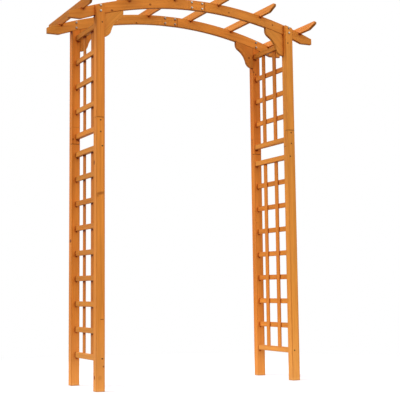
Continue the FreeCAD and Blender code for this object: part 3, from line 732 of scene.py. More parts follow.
@dataclass(frozen=True)
class StainedFir:
    """Fir under an orange-brown stain: growth rings, fibres, streaks, knots and rubbed arrises,
    with painted shade in inside corners and painted floor light at the feet.

    The pattern is solid. It reads the board's own grain attribute, whose first part runs along the
    board and whose other two give the distance from the heart of the tree.
    """

    slot: Slot = Slot.WOOD
    early: Colour = (0.720, 0.252, 0.034)
    late: Colour = (0.470, 0.117, 0.009)
    knot: Colour = (0.100, 0.020, 0.003)
    knot_heart: Colour = (0.270, 0.056, 0.005)
    arris: Colour = (0.360, 0.095, 0.008)
    pooled: Colour = (0.090, 0.012, 0.001)
    # Painted light: colour that the wood takes near the floor, as if lit from below by it.
    bare: Colour = (0.800, 0.420, 0.130)
    # At tone -1 a board darkens and reddens as shaded wood would; where the tone table asks for it,
    # this is painted shade.
    deep_tone: Colour = (1.00, 0.80, 0.60)
    pale_tone: Colour = (1.06, 1.18, 1.36)
    fibre_scale: Point = (11.0, 520.0, 520.0)
    streak_scale: Point = (1.7, 75.0, 75.0)
    blotch_scale: Point = (2.2, 11.0, 11.0)
    detail: float = 3.0
    late_share: float = 0.50
    streak_share: Ramp = Ramp(0.35, 0.75, -0.06, 0.30)
    fibre_light: Ramp = Ramp(0.25, 0.75, -0.10, 0.10)
    blotch_light: Ramp = Ramp(0.3, 0.7, 0.90, 1.08)
    cut_light: float = -0.58
    foot_share: Ramp = Ramp(0.0, 0.45, 0.24, 0.0)
    sole_share: Ramp = Ramp(0.0, 0.04, 0.45, 0.0)
    knot_rim: Ramp = Ramp(0.1, 0.85)
    arris_share: Ramp = Ramp(0.35, 0.65, 0.15, 0.50)
    seam_share: float = -0.9
    roughness: Ramp = Ramp(0.2, 0.8, 0.50, 0.68)
    specular: float = 0.12
    late_relief: float = 0.5
    knot_relief: float = 0.6
    bump: Pair = (0.45, 0.35 * MM)
    # Painted shade of inside corners: reach, upward tilt and samples of the occlusion, its ramp,
    # the reddening powers, and the height near the floor where it is turned off.
    corner_reach: float = 0.024
    corner_rise: float = 0.8
    corner_samples: int = 8
    corner_open: Ramp = Ramp(0.22, 0.74, 0.16, 1.0)
    corner_powers: Point = (1.0, 2.3, 3.6)
    ground_open: Ramp = Ramp(0.01, 0.05, 1.0, 0.0)
    chance_scale: Point = (8.0, 14.0, 14.0)
    chance: float = 0.02
    chance_size: Pair = (0.06, 0.07)
    chance_core: Ramp = Ramp(0.55, 1.0, 0.80, 0.0)
    out_of_reach: float = 50.0
    halo: Ramp = Ramp(1.0, 3.2, 1.0, 0.0)
    halo_bend: float = 7.0 * MM
    ring_gap: float = 3.6 * MM
    ring_bends: tuple[tuple[Point, float, float], ...] = (
        ((1.1, 9.0, 9.0), 2.0, 14.0 * MM), ((6.0, 60.0, 60.0), 1.0, 1.8 * MM))
    ring_rise: Ramp = Ramp(0.25, 0.90)
    ring_fall: Ramp = Ramp(0.92, 1.0, 1.0, 0.0)
    ring_depth: Pair = (0.6, 0.4)

    def material(self) -> bpy.types.Material:
        """Build the node material.

        Returns:
            The material.
        """
        g = Paint(self.slot.value)
        grain, place = g.attribute("grain"), g.place()
        wear, cut, tone = g.parts(g.attribute("state"))
        height = g.parts(place)[2]
        core, near = self.knots(g, grain, place)
        late = self.rings(g, grain, g.ramp(near, self.halo))
        fibre, streak, blotch = (
            g.noise(grain, scale, self.detail)
            for scale in (self.fibre_scale, self.streak_scale, self.blotch_scale))

        share = g.math("MULTIPLY_ADD", late, self.late_share,
                       g.ramp(streak, self.streak_share), clamp=True)
        light = g.math("ADD", g.ramp(fibre, self.fibre_light), g.ramp(blotch, self.blotch_light))
        light = g.math("MULTIPLY_ADD", cut, self.cut_light, light)
        tone = g.blend(g.math("MULTIPLY_ADD", tone, 0.5, 0.5), self.deep_tone, self.pale_tone)
        colour = g.blend(share, self.early, self.late)
        for tint in (light, tone):
            colour = g.blend(1.0, colour, tint, "MULTIPLY")

        # Painted light: the wood lightens towards the floor, most in the lowest few centimetres.
        foot = g.math("MAXIMUM", g.ramp(height, self.foot_share), g.ramp(height, self.sole_share))
        knot = g.blend(g.ramp(near, self.knot_rim), self.knot_heart, self.knot)
        rubbed = g.math("MAXIMUM", wear, 0.0)
        rubbed = g.math("MULTIPLY", rubbed, g.ramp(blotch, self.arris_share))
        seam = g.math("MULTIPLY", g.math("MINIMUM", wear, 0.0), self.seam_share)
        layers = ((foot, self.bare), (core, knot), (rubbed, self.arris), (seam, self.pooled))
        for cover, stain in layers:
            colour = g.blend(cover, colour, stain)
        # Painted shade: inside corners that face down darken and redden.
        colour = g.blend(1.0, colour, self.corners(g, height), "MULTIPLY")

        g.coat({"Base Color": colour, "Roughness": g.ramp(fibre, self.roughness),
                "Specular IOR Level": self.specular})
        relief = g.math("ADD", fibre, g.math("MULTIPLY", core, self.knot_relief))
        g.bump(g.math("MULTIPLY_ADD", late, self.late_relief, relief), *self.bump)
        return g.material

    def corners(self, g: Paint, height: Socket) -> Socket:
        """Painted shade: tint of inside corners that face down, from ambient occlusion about a
        normal tilted up.

        An openness t gives the colour (t, t^2.3, t^3.6), so that a corner reddens as it darkens.

        Args:
            g: material under construction.
            height: height above the ground.

        Returns:
            Colour that the stain is multiplied by.
        """
        normal = g.add("ShaderNodeNewGeometry").outputs["Normal"]
        rising = g.vector("ADD", normal, (0.0, 0.0, self.corner_rise))[0]
        feeds = {"Distance": self.corner_reach, "Normal": rising}
        corner = g.add("ShaderNodeAmbientOcclusion", feeds, samples=self.corner_samples)
        clear = g.math("MAXIMUM", g.ramp(corner.outputs["AO"], self.corner_open),
                       g.ramp(height, self.ground_open))
        powers = [g.math("POWER", clear, power) for power in self.corner_powers]
        return g.add("ShaderNodeCombineColor", dict(enumerate(powers))).outputs[0]

    def knots(self, g: Paint, grain: Socket, place: Socket) -> tuple[Socket, Socket]:
        """Darkness of the knots, and the way to the nearest one in its own half widths.

        A few small knots come by chance in cells of the grain; the others have a known spot, and
        two of these are partly painted shade.

        Args:
            g: material under construction.
            grain: grain attribute of the board.
            place: place in the arch.

        Returns:
            The darkness and the way.
        """
        feeds = {"Vector": g.scaled(grain, self.chance_scale), "Scale": 1.0}
        cells = g.add("ShaderNodeTexVoronoi", feeds, voronoi_dimensions="3D")
        first, second, _ = g.parts(cells.outputs["Color"])
        empty = g.math("MULTIPLY", g.math("GREATER_THAN", first, self.chance), self.out_of_reach)
        size = g.math("MULTIPLY_ADD", second, *self.chance_size)
        near = g.math("ADD", g.math("DIVIDE", cells.outputs["Distance"], size), empty)
        core = g.ramp(near, self.chance_core)
        for knot in KNOTS_AND_PAINTED_SHADE:
            feeds = {"Vector": place, "Location": knot.spot,
                     "Rotation": (0.0, math.radians(knot.tilt), 0.0),
                     "Scale": tuple(MM * half for half in knot.half)}
            away = g.length(g.add("ShaderNodeMapping", feeds, vector_type="TEXTURE").outputs[0])
            dark = g.ramp(away, Ramp(knot.firm, 1.0, knot.depth, 0.0))
            core = g.math("MAXIMUM", core, dark)
            near = g.math("MINIMUM", near, away)
        return core, near

    def rings(self, g: Paint, grain: Socket, halo: Socket) -> Socket:
        """Late wood of each growth ring: a saw tooth of the way from the heart, bent by noise.

        Args:
            g: material under construction.
            grain: grain attribute of the board.
            halo: nearness of a knot, which bends the rings.

        Returns:
            Share of late wood, from 0 to 1.
        """
        reach = g.length(g.scaled(grain, (0.0, 1.0, 1.0)))
        for scale, detail, bend in self.ring_bends:
            sway = g.math("SUBTRACT", g.noise(grain, scale, detail), 0.5)
            reach = g.math("MULTIPLY_ADD", sway, bend, reach)
        reach = g.math("MULTIPLY_ADD", halo, self.halo_bend, reach)
        phase = g.math("DIVIDE", reach, self.ring_gap)
        feeds = {"W": g.math("FLOOR", phase)}
        chance = g.add("ShaderNodeTexWhiteNoise", feeds, noise_dimensions="1D").outputs["Value"]
        tooth = g.math("FRACT", phase)
        rise = g.math("MULTIPLY", g.ramp(tooth, self.ring_rise), g.ramp(tooth, self.ring_fall))
        return g.math("MULTIPLY", rise, g.math("MULTIPLY_ADD", chance, *self.ring_depth))


@dataclass(frozen=True)
class PlatedSteel:
    """Plated steel of the fasteners, dulled in patches."""

    slot: Slot
    bright: Colour
    dull: Colour
    gloss: Ramp
    dulled: Ramp = Ramp(0.35, 0.70)
    patch_scale: Point = (180.0, 180.0, 180.0)
    patch_detail: float = 3.0
    brush_scale: Point = (900.0, 900.0, 2600.0)
    brush_detail: float = 2.0
    bump: Pair = (0.15, 0.1 * MM)

    def material(self) -> bpy.types.Material:
        """Build the node material.

        Returns:
            The material.
        """
        g = Paint(self.slot.value)
        place = g.place()
        patch = g.noise(place, self.patch_scale, self.patch_detail)
        g.coat({"Base Color": g.blend(g.ramp(patch, self.dulled), self.bright, self.dull),
                "Roughness": g.ramp(patch, self.gloss), "Metallic": 1.0})
        g.bump(g.noise(place, self.brush_scale, self.brush_detail), *self.bump)
        return g.material


FINISHES = (
    StainedFir(),
    PlatedSteel(Slot.ZINC, (0.41, 0.385, 0.33), (0.22, 0.19, 0.145), Ramp(0.3, 0.7, 0.34, 0.54)),
    PlatedSteel(Slot.SCREW, (0.160, 0.062, 0.020), (0.085, 0.034, 0.011),
                Ramp(0.3, 0.7, 0.40, 0.58)),
)


@dataclass(frozen=True)
class Grain:
    """Way that a board was cut from the tree.

    Args:
        along: direction of the fibres.
        across: direction of the board's face, square to the fibres.
        middle: a point in the middle of the board.
        tone: how pale it took the stain, from -1 to 1; on some boards partly painted shade.
        soak: how dark its end grain went, from 0 to 1.
        deep: how dark its faces went, from 0 to 1; on the panel boards partly painted shade.
        stray: how far chance may shift the tone.
    """

    along: Point
    across: Point
    middle: Point
    tone: float
    soak: float = 1.0
    deep: float = 0.0
    stray: float = 0.0


# Tone of each board, partly its own and partly painted shade: the rear posts are darker and redder,
# standing in for the shade of the front posts.
BOARD_TONES_AND_PAINTED_SHADE = {
    "post_lower_front_left": 0.3, "post_upper_front_left": 0.1,
    "post_lower_rear_left": -0.15, "post_upper_rear_left": -0.4,
    "post_lower_front_right": 1.0, "post_upper_front_right": 0.9,
    "post_lower_rear_right": -0.3, "post_upper_rear_right": -0.9,
    "arch_half_front_left": 0.2, "arch_half_front_right": 0.5,
    "arch_half_rear_left": 1.0, "arch_half_rear_right": 0.6,
    "bracket_front_left": 1.0, "bracket_front_right": 1.0,
    "bracket_rear_left": 0.2, "bracket_rear_right": 0.2,
    "rafter_1": 0.3, "rafter_2": 0.5, "rafter_3": 0.5,
    "rafter_4": 1.0, "rafter_5": 0.8, "rafter_6": 0.4,
}

# Tone and depth of the stain on the boards of the side panels; the deeper values, most on the left
# panel, are partly painted shade of the boards' shaded edges.
PANEL_STAINS_AND_PAINTED_SHADE = {
    ("rail", Side.LEFT): (0.70, 0.10), ("rail", Side.RIGHT): (0.65, 0.03),
    ("rung", Side.LEFT): (0.65, 0.24), ("rung", Side.RIGHT): (0.05, 0.0),
    ("slats", Side.LEFT): (0.0, 0.37), ("slats", Side.RIGHT): (0.25, 0.10),
}

# First word of the name of a piece in each material.
FIRST_WORDS = {Slot.WOOD: "stained_", Slot.ZINC: "zinc_", Slot.SCREW: "steel_"}


class Bench:
    """Turns skins into objects of the scene, finishes them and ties them to the frame."""

    HEART_NEAR = 0.022
    HEART_FAR = 0.085
    SHIFT = 9.0
    END_FROM = 0.35
    END_SPAN = 0.5

    def __init__(self, seed: int) -> None:
        """Make the finishes and the source of the boards' differences.

        Args:
            seed: start of the random draws.
        """
        self.random = np.random.default_rng(seed)
        self.materials = {finish.slot: finish.material() for finish in FINISHES}

    def board(self, node: str, skin: Skin, grain: Grain, bores: Sequence[Bore] = ()) -> None:
        """Add a wooden piece.

        Args:
            node: node of the frame that it stands for.
            skin: its surface.
            grain: how it was cut from the tree.
            bores: its countersunk holes.
        """
        thing = self.object_of(FIRST_WORDS[Slot.WOOD] + node, skin)
        if bores:
            self.drill(thing, bores)
        self.mark_grain(thing.data, grain)
        self.tie(thing, node, Slot.WOOD)

    def metal(self, node: str, skins: Sequence[Skin], slot: Slot) -> None:
        """Add the like fasteners of one node as one piece."""
        self.tie(self.object_of(FIRST_WORDS[slot] + node, join(skins)), node, slot)

    def object_of(self, name: str, skin: Skin) -> bpy.types.Object:
        """Object at the origin with the skin as its mesh.

        Args:
            name: name of the piece.
            skin: its surface.

        Returns:
            The object, linked to the scene.
        """
        mesh = bpy.data.meshes.new(name)
        faces = skin.quads.tolist() + [cap.tolist() for cap in skin.caps]
        mesh.from_pydata(skin.points.tolist(), [], faces)
        corners = self.read(mesh.loops, "vertex_index", np.int32)
        rubbed = mesh.attributes.new("wear", "FLOAT", "CORNER")
        rubbed.data.foreach_set("value", skin.wear[corners].astype(np.float32))
        self.smooth(mesh)
        thing = bpy.data.objects.new(name, mesh)
        bpy.context.scene.collection.objects.link(thing)
        return thing

    @staticmethod
    def read(rows: bpy.types.bpy_prop_collection, key: str, kind: type, width: int = 1) -> Array:
        """Values of a mesh collection, one or a row of them for each item.

        Args:
            rows: the collection.
            key: name of the value.
            kind: type of number.
            width: numbers in each value.

        Returns:
            Array of shape (items,), or (items, width) for rows.
        """
        values = np.empty(len(rows) * width, kind)
        rows.foreach_get(key, values)
        return values.reshape(-1, width) if width > 1 else values

    @staticmethod
    def smooth(mesh: bpy.types.Mesh) -> None:
        """Shade the faces smooth, except across sharp edges."""
        mesh.polygons.foreach_set("use_smooth", np.ones(len(mesh.polygons), bool))
        mesh.set_sharp_from_angle(angle=SHARP_ANGLE)

    def drill(self, thing: bpy.types.Object, bores: Sequence[Bore]) -> None:
        """Take the holes out of a board and keep the result as its mesh.

        Args:
            thing: the board.
            bores: its holes.
        """
        tool = self.object_of("bore_tool", join([bore.skin() for bore in bores]))
        cut = thing.modifiers.new("bores", "BOOLEAN")
        cut.operation = "DIFFERENCE"
        cut.solver = "EXACT"
        cut.object = tool
        graph = bpy.context.evaluated_depsgraph_get()
        done = bpy.data.meshes.new_from_object(
            thing.evaluated_get(graph), preserve_all_data_layers=True, depsgraph=graph)
        thing.modifiers.clear()
        blank, tool_mesh = thing.data, tool.data
        thing.data = done
        bpy.data.objects.remove(tool)
        for mesh in (tool_mesh, blank):
            bpy.data.meshes.remove(mesh)
        done.name = thing.name
        self.smooth(done)

    def mark_grain(self, mesh: bpy.types.Mesh, grain: Grain) -> None:
        """Give a board its grain attribute, and its state: wear, darkness of its end grain and
        faces, and tone; on some boards the last two are partly painted shade.

        The grain at a point p is ((p - h) . along + shift, (p - h) . across, (p - h) . third),
        where h is the heart of the tree, a little way off the middle of the board.

        Args:
            mesh: mesh of the board.
            grain: how it was cut from the tree.
        """
        along, across = np.array(grain.along), np.array(grain.across)
        third = np.cross(along, across)
        bearing = self.random.uniform(0.0, 2 * math.pi)
        far = self.random.uniform(self.HEART_NEAR, self.HEART_FAR)
        aside = math.cos(bearing) * across + math.sin(bearing) * third
        heart = np.array(grain.middle) + far * aside
        shift = self.random.uniform(-self.SHIFT, self.SHIFT)
        tone = np.clip(grain.tone + grain.stray * self.random.uniform(-1.0, 1.0), -1.0, 1.0)
        corners = self.read(mesh.loops, "vertex_index", np.int32)
        spots = self.read(mesh.vertices, "co", np.float32, 3)[corners] - heart
        values = spots @ np.stack([along, across, third], axis=1) + [shift, 0.0, 0.0]
        totals = self.read(mesh.polygons, "loop_total", np.int32)
        facing = np.abs(self.read(mesh.polygons, "normal", np.float32, 3) @ along)
        ends = np.repeat(np.clip((facing - self.END_FROM) / self.END_SPAN, 0.0, 1.0), totals)
        cut = np.maximum(grain.soak * ends, grain.deep)
        wear = self.read(mesh.attributes["wear"].data, "value", np.float32)
        state = np.stack([wear, cut, np.full(len(cut), tone)], axis=1)
        for name, table in (("grain", values), ("state", state)):
            made = mesh.attributes.new(name, "FLOAT_VECTOR", "CORNER")
            made.data.foreach_set("vector", table.astype(np.float32).ravel())
        mesh.attributes.remove(mesh.attributes["wear"])

    def tie(self, thing: bpy.types.Object, node: str, slot: Slot) -> None:
        """Give a piece its material, tie it to the arch's body and hide the imported part it stands
        for.

        Args:
            thing: the piece.
            node: node of the frame that it stands for.
            slot: slot of its material.
        """
        thing.data.materials.append(self.materials[slot])
        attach(thing, ROOT)
        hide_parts(node)
        log.info("%s: %d faces", thing.name, len(thing.data.polygons))


@dataclass
class Assembly:
    """Pieces of the arch that belong together.

    Args:
        bench: where the pieces are made and finished.
    """

    bench: Bench


@dataclass
class Posts(Assembly):
    """Four posts, each a lower and an upper length joined by a screwed half lap."""

    line: ArchLine
    middle_x: float = 0.596
    outer_y: float = 0.223
    side: float = 0.048
    lap_low: float = 1.354
    lap_high: float = 1.448
    lap_screws: Pair = (1.369, 1.433)
    rail_screw_x: float = 0.587
    lower_rail_screws: Pair = (0.1695, 1.2925)
    upper_rail_screw: float = 1.9716
    screw_sink: float = 0.6 * MM
    beam_thick: float = 0.022
    top_drop: float = 0.006
    curve_room: float = 0.03
    tight_seam: float = 0.3
    ease: float = 2.2 * MM
    step: float = 0.05 * MM

    def build(self) -> None:
        """Make all eight lengths."""
        for corner in CORNERS:
            self.lower(corner)
            self.upper(corner)

    def section(self, near: float, far: float) -> Box:
        """Section across the post, from near to far below its outer face."""
        return -self.side / 2, near, self.side / 2, far

    def lower(self, corner: Corner) -> None:
        """Lower length: full section up to the shoulder, then the outer tongue of the lap.

        Args:
            corner: where it stands.
        """
        run = Run(self.ease)
        half = self.side / 2
        full, tongue = self.section(0.0, self.side), self.section(0.0, half)
        run.end(0.0, lambda _: full, 1)
        for step in eased_end(self.ease)[:0:-1]:
            run.add(self.lap_low - step.distance, self.section(0.0, self.side - step.inset))
        run.add(self.lap_low + self.step, tongue)
        run.end(self.lap_high, lambda _: tongue, -1)
        skin = run.skin(lambda z, a, b: self.stand(corner, a, b, z))
        height, depth = skin.points[:, 2], self.depth(corner, skin.points)
        seam = (height > self.lap_high - self.ease) | (
            (height > self.lap_low - self.ease) & (depth > half - self.step))
        heads = self.lap_heads(corner) + self.rail_heads(corner, self.lower_rail_screws)
        self.finish("lower", corner, self.pooled(corner, skin, seam), heads, self.lap_low / 2)

    def upper(self, corner: Corner) -> None:
        """Upper length: inner tongue, full section, then the beam's rebate under a curved top.

        The stations of the rebate and the top follow circles about the arch's centre.

        Args:
            corner: where it stands.
        """
        run = Run(self.ease)
        half = self.side / 2
        flat = self.line.inner - self.curve_room
        full, tongue = self.section(0.0, self.side), self.section(half, self.side)
        rebated = self.section(0.0, self.side - self.beam_thick)
        run.end(self.lap_low, lambda _: tongue, 1)
        run.add(self.lap_high - self.step, tongue)
        for step in eased_end(self.ease)[1:]:
            run.add(self.lap_high + step.distance, self.section(step.inset, self.side),
                    wear=step.wear)
        curved = len(run.rows)
        run.add(flat, full)
        run.add(self.line.inner, full)
        run.add(self.line.inner + self.step, rebated)
        run.end(self.line.outer - self.top_drop, lambda _: rebated, -1)

        def place(along: Array, a: Array, b: Array) -> Array:
            """Heights below, circle radii above.

            Args:
                along: height or radius of each station.
                a: distance across.
                b: depth below the outer face.

            Returns:
                Points in the arch.
            """
            height = along.copy()
            across = self.middle_x + corner.x * a[curved:]
            height[curved:] = self.line.height(along[curved:], across)
            return self.stand(corner, a, b, height)

        skin = run.skin(place)
        height, depth = skin.points[:, 2], self.depth(corner, skin.points)
        seam = (height < self.lap_low + self.ease) | (
            (height < self.lap_high + self.ease) & (depth < half + self.step))
        heads = self.rail_heads(corner, [self.upper_rail_screw])
        self.finish("upper", corner, self.pooled(corner, skin, seam), heads,
                    (self.lap_high + flat) / 2)

    def pooled(self, corner: Corner, skin: Skin, seam: Array) -> Skin:
        """Skin with stain in the seams of its lap: the front left lap is the tightest."""
        tight = corner == Corner(Side.LEFT, End.FRONT)
        return skin.seamed(seam, self.tight_seam if tight else 1.0)

    def depth(self, corner: Corner, points: Array) -> Array:
        """Depth of points below the outer face of a post."""
        return self.outer_y - corner.y * points[:, 1]

    def stand(self, corner: Corner, across: Array, depth: Array, height: Array) -> Array:
        """Points of a post from its own section to the arch."""
        x, y = corner.x * self.middle_x + across, corner.y * (self.outer_y - depth)
        return np.stack([x, y, height], -1)

    def head(self, corner: Corner, across: float, height: float, below: float = 0.0) -> Head:
        """Spot and way out of a screw head in the outer face, or in a tongue below that face."""
        face = corner.y * (self.outer_y - below - self.screw_sink)
        return (corner.x * across, face, height), (0.0, float(corner.y), 0.0)

    def lap_heads(self, corner: Corner) -> list[Head]:
        """Screw heads of the half lap."""
        return [self.head(corner, self.middle_x, z) for z in self.lap_screws]

    def rail_heads(self, corner: Corner, levels: Iterable[float]) -> list[Head]:
        """Screw heads of rails at some levels."""
        return [self.head(corner, self.rail_screw_x, z) for z in levels]

    def finish(self, part: str, corner: Corner, skin: Skin, heads: Iterable[Head],
               middle: float) -> None:
        """Drill a length for the screws in its outer face and put it in the scene.

        Args:
            part: lower or upper.
            corner: where it stands.
            skin: surface of the length.
            heads: its screw heads.
            middle: height of its middle.
        """
        spot = (corner.x * self.middle_x, corner.y * (self.outer_y - self.side / 2), middle)
        node = label("post", part, corner.end, corner.side)
        grain = Grain((0, 0, 1), (1, 0, 0), spot, BOARD_TONES_AND_PAINTED_SHADE[node])
        self.bench.board(node, skin, grain, [Bore(*head) for head in heads])


@dataclass
class Beams(Assembly):
    """Front and rear beams, each two sawn halves lapped at the crown."""

    line: ArchLine
    middle_y: float = 0.186
    thick: float = 0.022
    half_lap: float = 0.049
    lap_clear: float = 0.024
    tail: float = 0.770
    tail_flat: float = 1.9852
    tail_clear: float = 0.018
    grain_radius: float = 2.05
    soak: float = 0.3
    ease: float = 1.8 * MM
    step: float = 0.05 * MM
    stations: int = 40
    tail_stations: int = 4

    def build(self) -> None:
        """Make the four halves; a left half is a right one turned about the upright."""
        half, reach = self.half(), self.tail / 2
        slope = math.atan2(self.tail_flat - self.line.height(self.line.inner, 0.0), self.tail)
        for corner in CORNERS:
            turn, y = corner.x, corner.y * self.middle_y
            skin = half.moved(lambda p: p * (turn, turn, 1) + (0.0, y, 0.0))
            node = label("arch_half", corner.end, corner.side)
            along = (turn * math.cos(slope), 0.0, math.sin(slope))
            across = (-turn * math.sin(slope), 0.0, math.cos(slope))
            spot = (turn * reach, y, float(self.line.height(self.grain_radius, reach)))
            self.bench.board(node, skin, Grain(along, across, spot, BOARD_TONES_AND_PAINTED_SHADE[node], self.soak))

    def box(self, across: float, front: float) -> Box:
        """Section at a distance from the crown: between the circles, or above the tail's flat."""
        low = max(float(self.line.height(self.line.inner, across)), self.tail_flat)
        return front, low, self.thick / 2, float(self.line.height(self.line.outer, across))

    def half(self) -> Skin:
        """Right half: crown tongue at the back, shoulder, curved length and flat-bottomed tail.

        Returns:
            Skin of the half about the beam's middle plane.
        """
        run = Run(self.ease)
        full = -self.thick / 2
        run.end(-self.half_lap, lambda x: self.box(x, 0.0), 1)
        run.add(self.half_lap - self.step, self.box(self.half_lap, 0.0))
        for step in eased_end(self.ease)[1:]:
            spot = self.half_lap + step.distance
            run.add(spot, self.box(spot, full + step.inset), wear=step.wear)
        bend = math.sqrt(self.line.inner ** 2 - (self.tail_flat - self.line.centre) ** 2)
        curve = np.linspace(self.half_lap + self.lap_clear, bend, self.stations)
        tail = np.linspace(bend, self.tail - self.tail_clear, self.tail_stations)[1:]
        for across in (*curve, *tail):
            run.add(across, self.box(across, full))
        run.end(self.tail, lambda x: self.box(x, full), -1)
        skin = run.skin(lambda x, a, b: np.stack([x, a, b], axis=-1))
        across, depth = skin.points[:, 0], skin.points[:, 1]
        return skin.seamed((across < self.ease - self.half_lap)
                           | (across < self.half_lap + self.ease) & (depth < self.step))


@dataclass
class Rafters(Assembly):
    """Six rafters laid over the beams, square to the curve."""

    line: ArchLine
    steps: tuple[float, ...] = (-2.5, -1.5, -0.5, 0.5, 1.5, 2.5)
    end_across: float = 0.6885
    long: float = 0.718
    high: float = 0.045
    thick: float = 0.015
    notch: float = 0.008
    notch_near: float = 0.1745
    notch_far: float = 0.1975
    bevel_long: float = 0.050
    bevel_high: float = 0.026
    corner_round: float = 0.013
    beam_y: float = 0.186
    screw_sink: float = 0.6 * MM
    ease: float = 1.6 * MM
    corner_steps: int = 6

    def build(self) -> None:
        """Make the rafters from left to right."""
        board = slab(self.outline(), self.thick, self.ease)
        for order, step in enumerate(self.steps, start=1):
            up = self.up(step)
            base = self.spot(up, 0.0)
            axes = np.stack([[up[2], 0.0, -up[0]], [0.0, 1.0, 0.0], up])
            skin = board.moved(lambda p: base + p @ axes).outward()
            node = label("rafter", order)
            middle = tuple(self.spot(up, self.high / 2))
            grain = Grain((0, 1, 0), tuple(up), middle, BOARD_TONES_AND_PAINTED_SHADE[node])
            self.bench.board(node, skin, grain, [Bore(*head) for head in self.heads(step)])

    def up(self, step: float) -> Array:
        """Way up of a rafter: leans in equal steps along the arch, as (sin t, 0, cos t)."""
        lean = step * math.asin(self.end_across / self.line.outer) / self.steps[-1]
        return np.array([math.sin(lean), 0.0, math.cos(lean)])

    def spot(self, up: Array, rise: float) -> Array:
        """Point in the middle of a rafter, at a rise above its lower edge."""
        seat = self.line.outer - self.notch
        return np.array([0.0, 0.0, self.line.centre]) + (seat + rise) * up

    def heads(self, step: float) -> list[Head]:
        """Screw heads over the two beams.

        Args:
            step: place in the row, counted from the middle.

        Returns:
            The front and the rear head.
        """
        up = self.up(step)
        x, _, z = self.spot(up, self.high - self.screw_sink)
        return [((x, end.value * self.beam_y, z), tuple(up)) for end in End]

    def outline(self) -> Array:
        """Side view: notches over the beams, bevelled lower ends and rounded upper corners.

        Returns:
            Corners in turn, as (along the rafter, up).
        """
        tip = self.long / 2
        under = [(self.notch_near, 0.0), (self.notch_near, self.notch),
                 (self.notch_far, self.notch), (self.notch_far, 0.0),
                 (tip - self.bevel_long, 0.0), (tip, self.bevel_high)]
        centre = (tip - self.corner_round, self.high - self.corner_round)
        crown = arc(centre, (tip, centre[1]), (centre[0], self.high), self.corner_steps)
        right = np.concatenate([np.array(under), crown])
        return np.concatenate([right, (right * (-1, 1))[::-1]])


@dataclass
class Brackets(Assembly):
    """Four ogee brackets in the corners between post and beam."""

    line: ArchLine
    post_x: float = 0.572
    nose_x: float = 0.452
    nose_edge: float = 0.017
    nose_round: float = 0.041
    sweep_round: float = 0.118
    toe_round: float = 0.047
    toe_flat: float = 0.002
    toe_z: float = 1.8989
    middle_y: float = 0.185
    thick: float = 0.020
    screw_bed: float = 0.016
    post_screw_rise: float = 0.030
    beam_screw_inset: float = 0.022
    bore_long: float = 0.060
    ease: float = 1.5 * MM
    beam_steps: int = 8
    curve_steps: int = 14

    def build(self) -> None:
        """Make the four brackets; a left one is a right one turned about the upright."""
        board = slab(self.outline(), self.thick, self.ease)
        lean = math.sqrt(0.5)
        for corner in CORNERS:
            turn, y = corner.x, corner.y * self.middle_y
            skin = board.moved(
                lambda p: np.stack([turn * p[:, 1], y - turn * p[:, 0], p[:, 2]], axis=1))
            heads = self.heads(corner)
            (_, _, beam_z), _ = heads[0]
            middle = (turn * (self.post_x + self.nose_x) / 2, y, (self.toe_z + beam_z) / 2)
            node = label("bracket", corner.end, corner.side)
            grain = Grain((turn * lean, 0, -lean), (turn * lean, 0, lean), middle, BOARD_TONES_AND_PAINTED_SHADE[node])
            bores = [Bore(*head, self.bore_long) for head in heads]
            self.bench.board(node, skin.outward(), grain, bores)

    def heads(self, corner: Corner) -> list[Head]:
        """Heads of the screws up into the beam and across into the post.

        Args:
            corner: where it stands.

        Returns:
            The head under the beam and the head beside the post.
        """
        turn, y = corner.x, corner.y * self.middle_y
        beam_x = self.nose_x + self.beam_screw_inset
        beam_z = float(self.line.height(self.line.inner, beam_x)) - self.screw_bed
        post_x, post_z = self.post_x - self.screw_bed, self.toe_z + self.post_screw_rise
        return [((turn * beam_x, y, beam_z), (0.0, 0.0, -1.0)),
                ((turn * post_x, y, post_z), (-float(turn), 0.0, 0.0))]

    def outline(self) -> Array:
        """Side view: beam edge, nose edge, convex nose, hollow sweep, convex toe and post edge.

        The sweep's centre lies at the sum of the radii from the centres of nose and toe.

        Returns:
            Corners in turn, as (across the arch, height).
        """
        nose_top = float(self.line.height(self.line.inner, self.nose_x))
        nose_z = nose_top - self.nose_edge
        post_top = float(self.line.height(self.line.inner, self.post_x))
        toe_x = self.post_x - self.toe_flat
        nose = np.array([self.nose_x + self.nose_round, nose_z])
        toe = np.array([toe_x, self.toe_z + self.toe_round])
        from_nose, from_toe = self.nose_round + self.sweep_round, self.toe_round + self.sweep_round
        gap = float(np.linalg.norm(toe - nose))
        run = (toe - nose) / gap
        share = (from_nose ** 2 - from_toe ** 2 + gap ** 2) / (2 * gap)
        aside = np.array([run[1], -run[0]])
        sweep = nose + run * share + aside * math.sqrt(from_nose ** 2 - share ** 2)
        turn_in = nose + (sweep - nose) / from_nose * self.nose_round
        turn_out = toe + (sweep - toe) / from_toe * self.toe_round
        beam_edge = (self.post_x, post_top), (self.nose_x, nose_top)
        return np.concatenate([
            arc((0.0, self.line.centre), *beam_edge, self.beam_steps),
            arc(nose, (self.nose_x, nose_z), turn_in, self.curve_steps),
            arc(sweep, turn_in, turn_out, self.curve_steps)[1:],
            arc(toe, turn_out, (toe_x, self.toe_z), self.curve_steps)[1:],
            [[self.post_x, self.toe_z]],
        ])


@dataclass(frozen=True)
class Bar:
    """Straight bar between the front and the rear post.

    Args:
        faces: distances of its two faces from the middle of the arch.
        reach: half its length.
        high: height of its section.
        ease: rounding of its arrises.
    """

    faces: Pair
    reach: float
    high: float
    ease: float


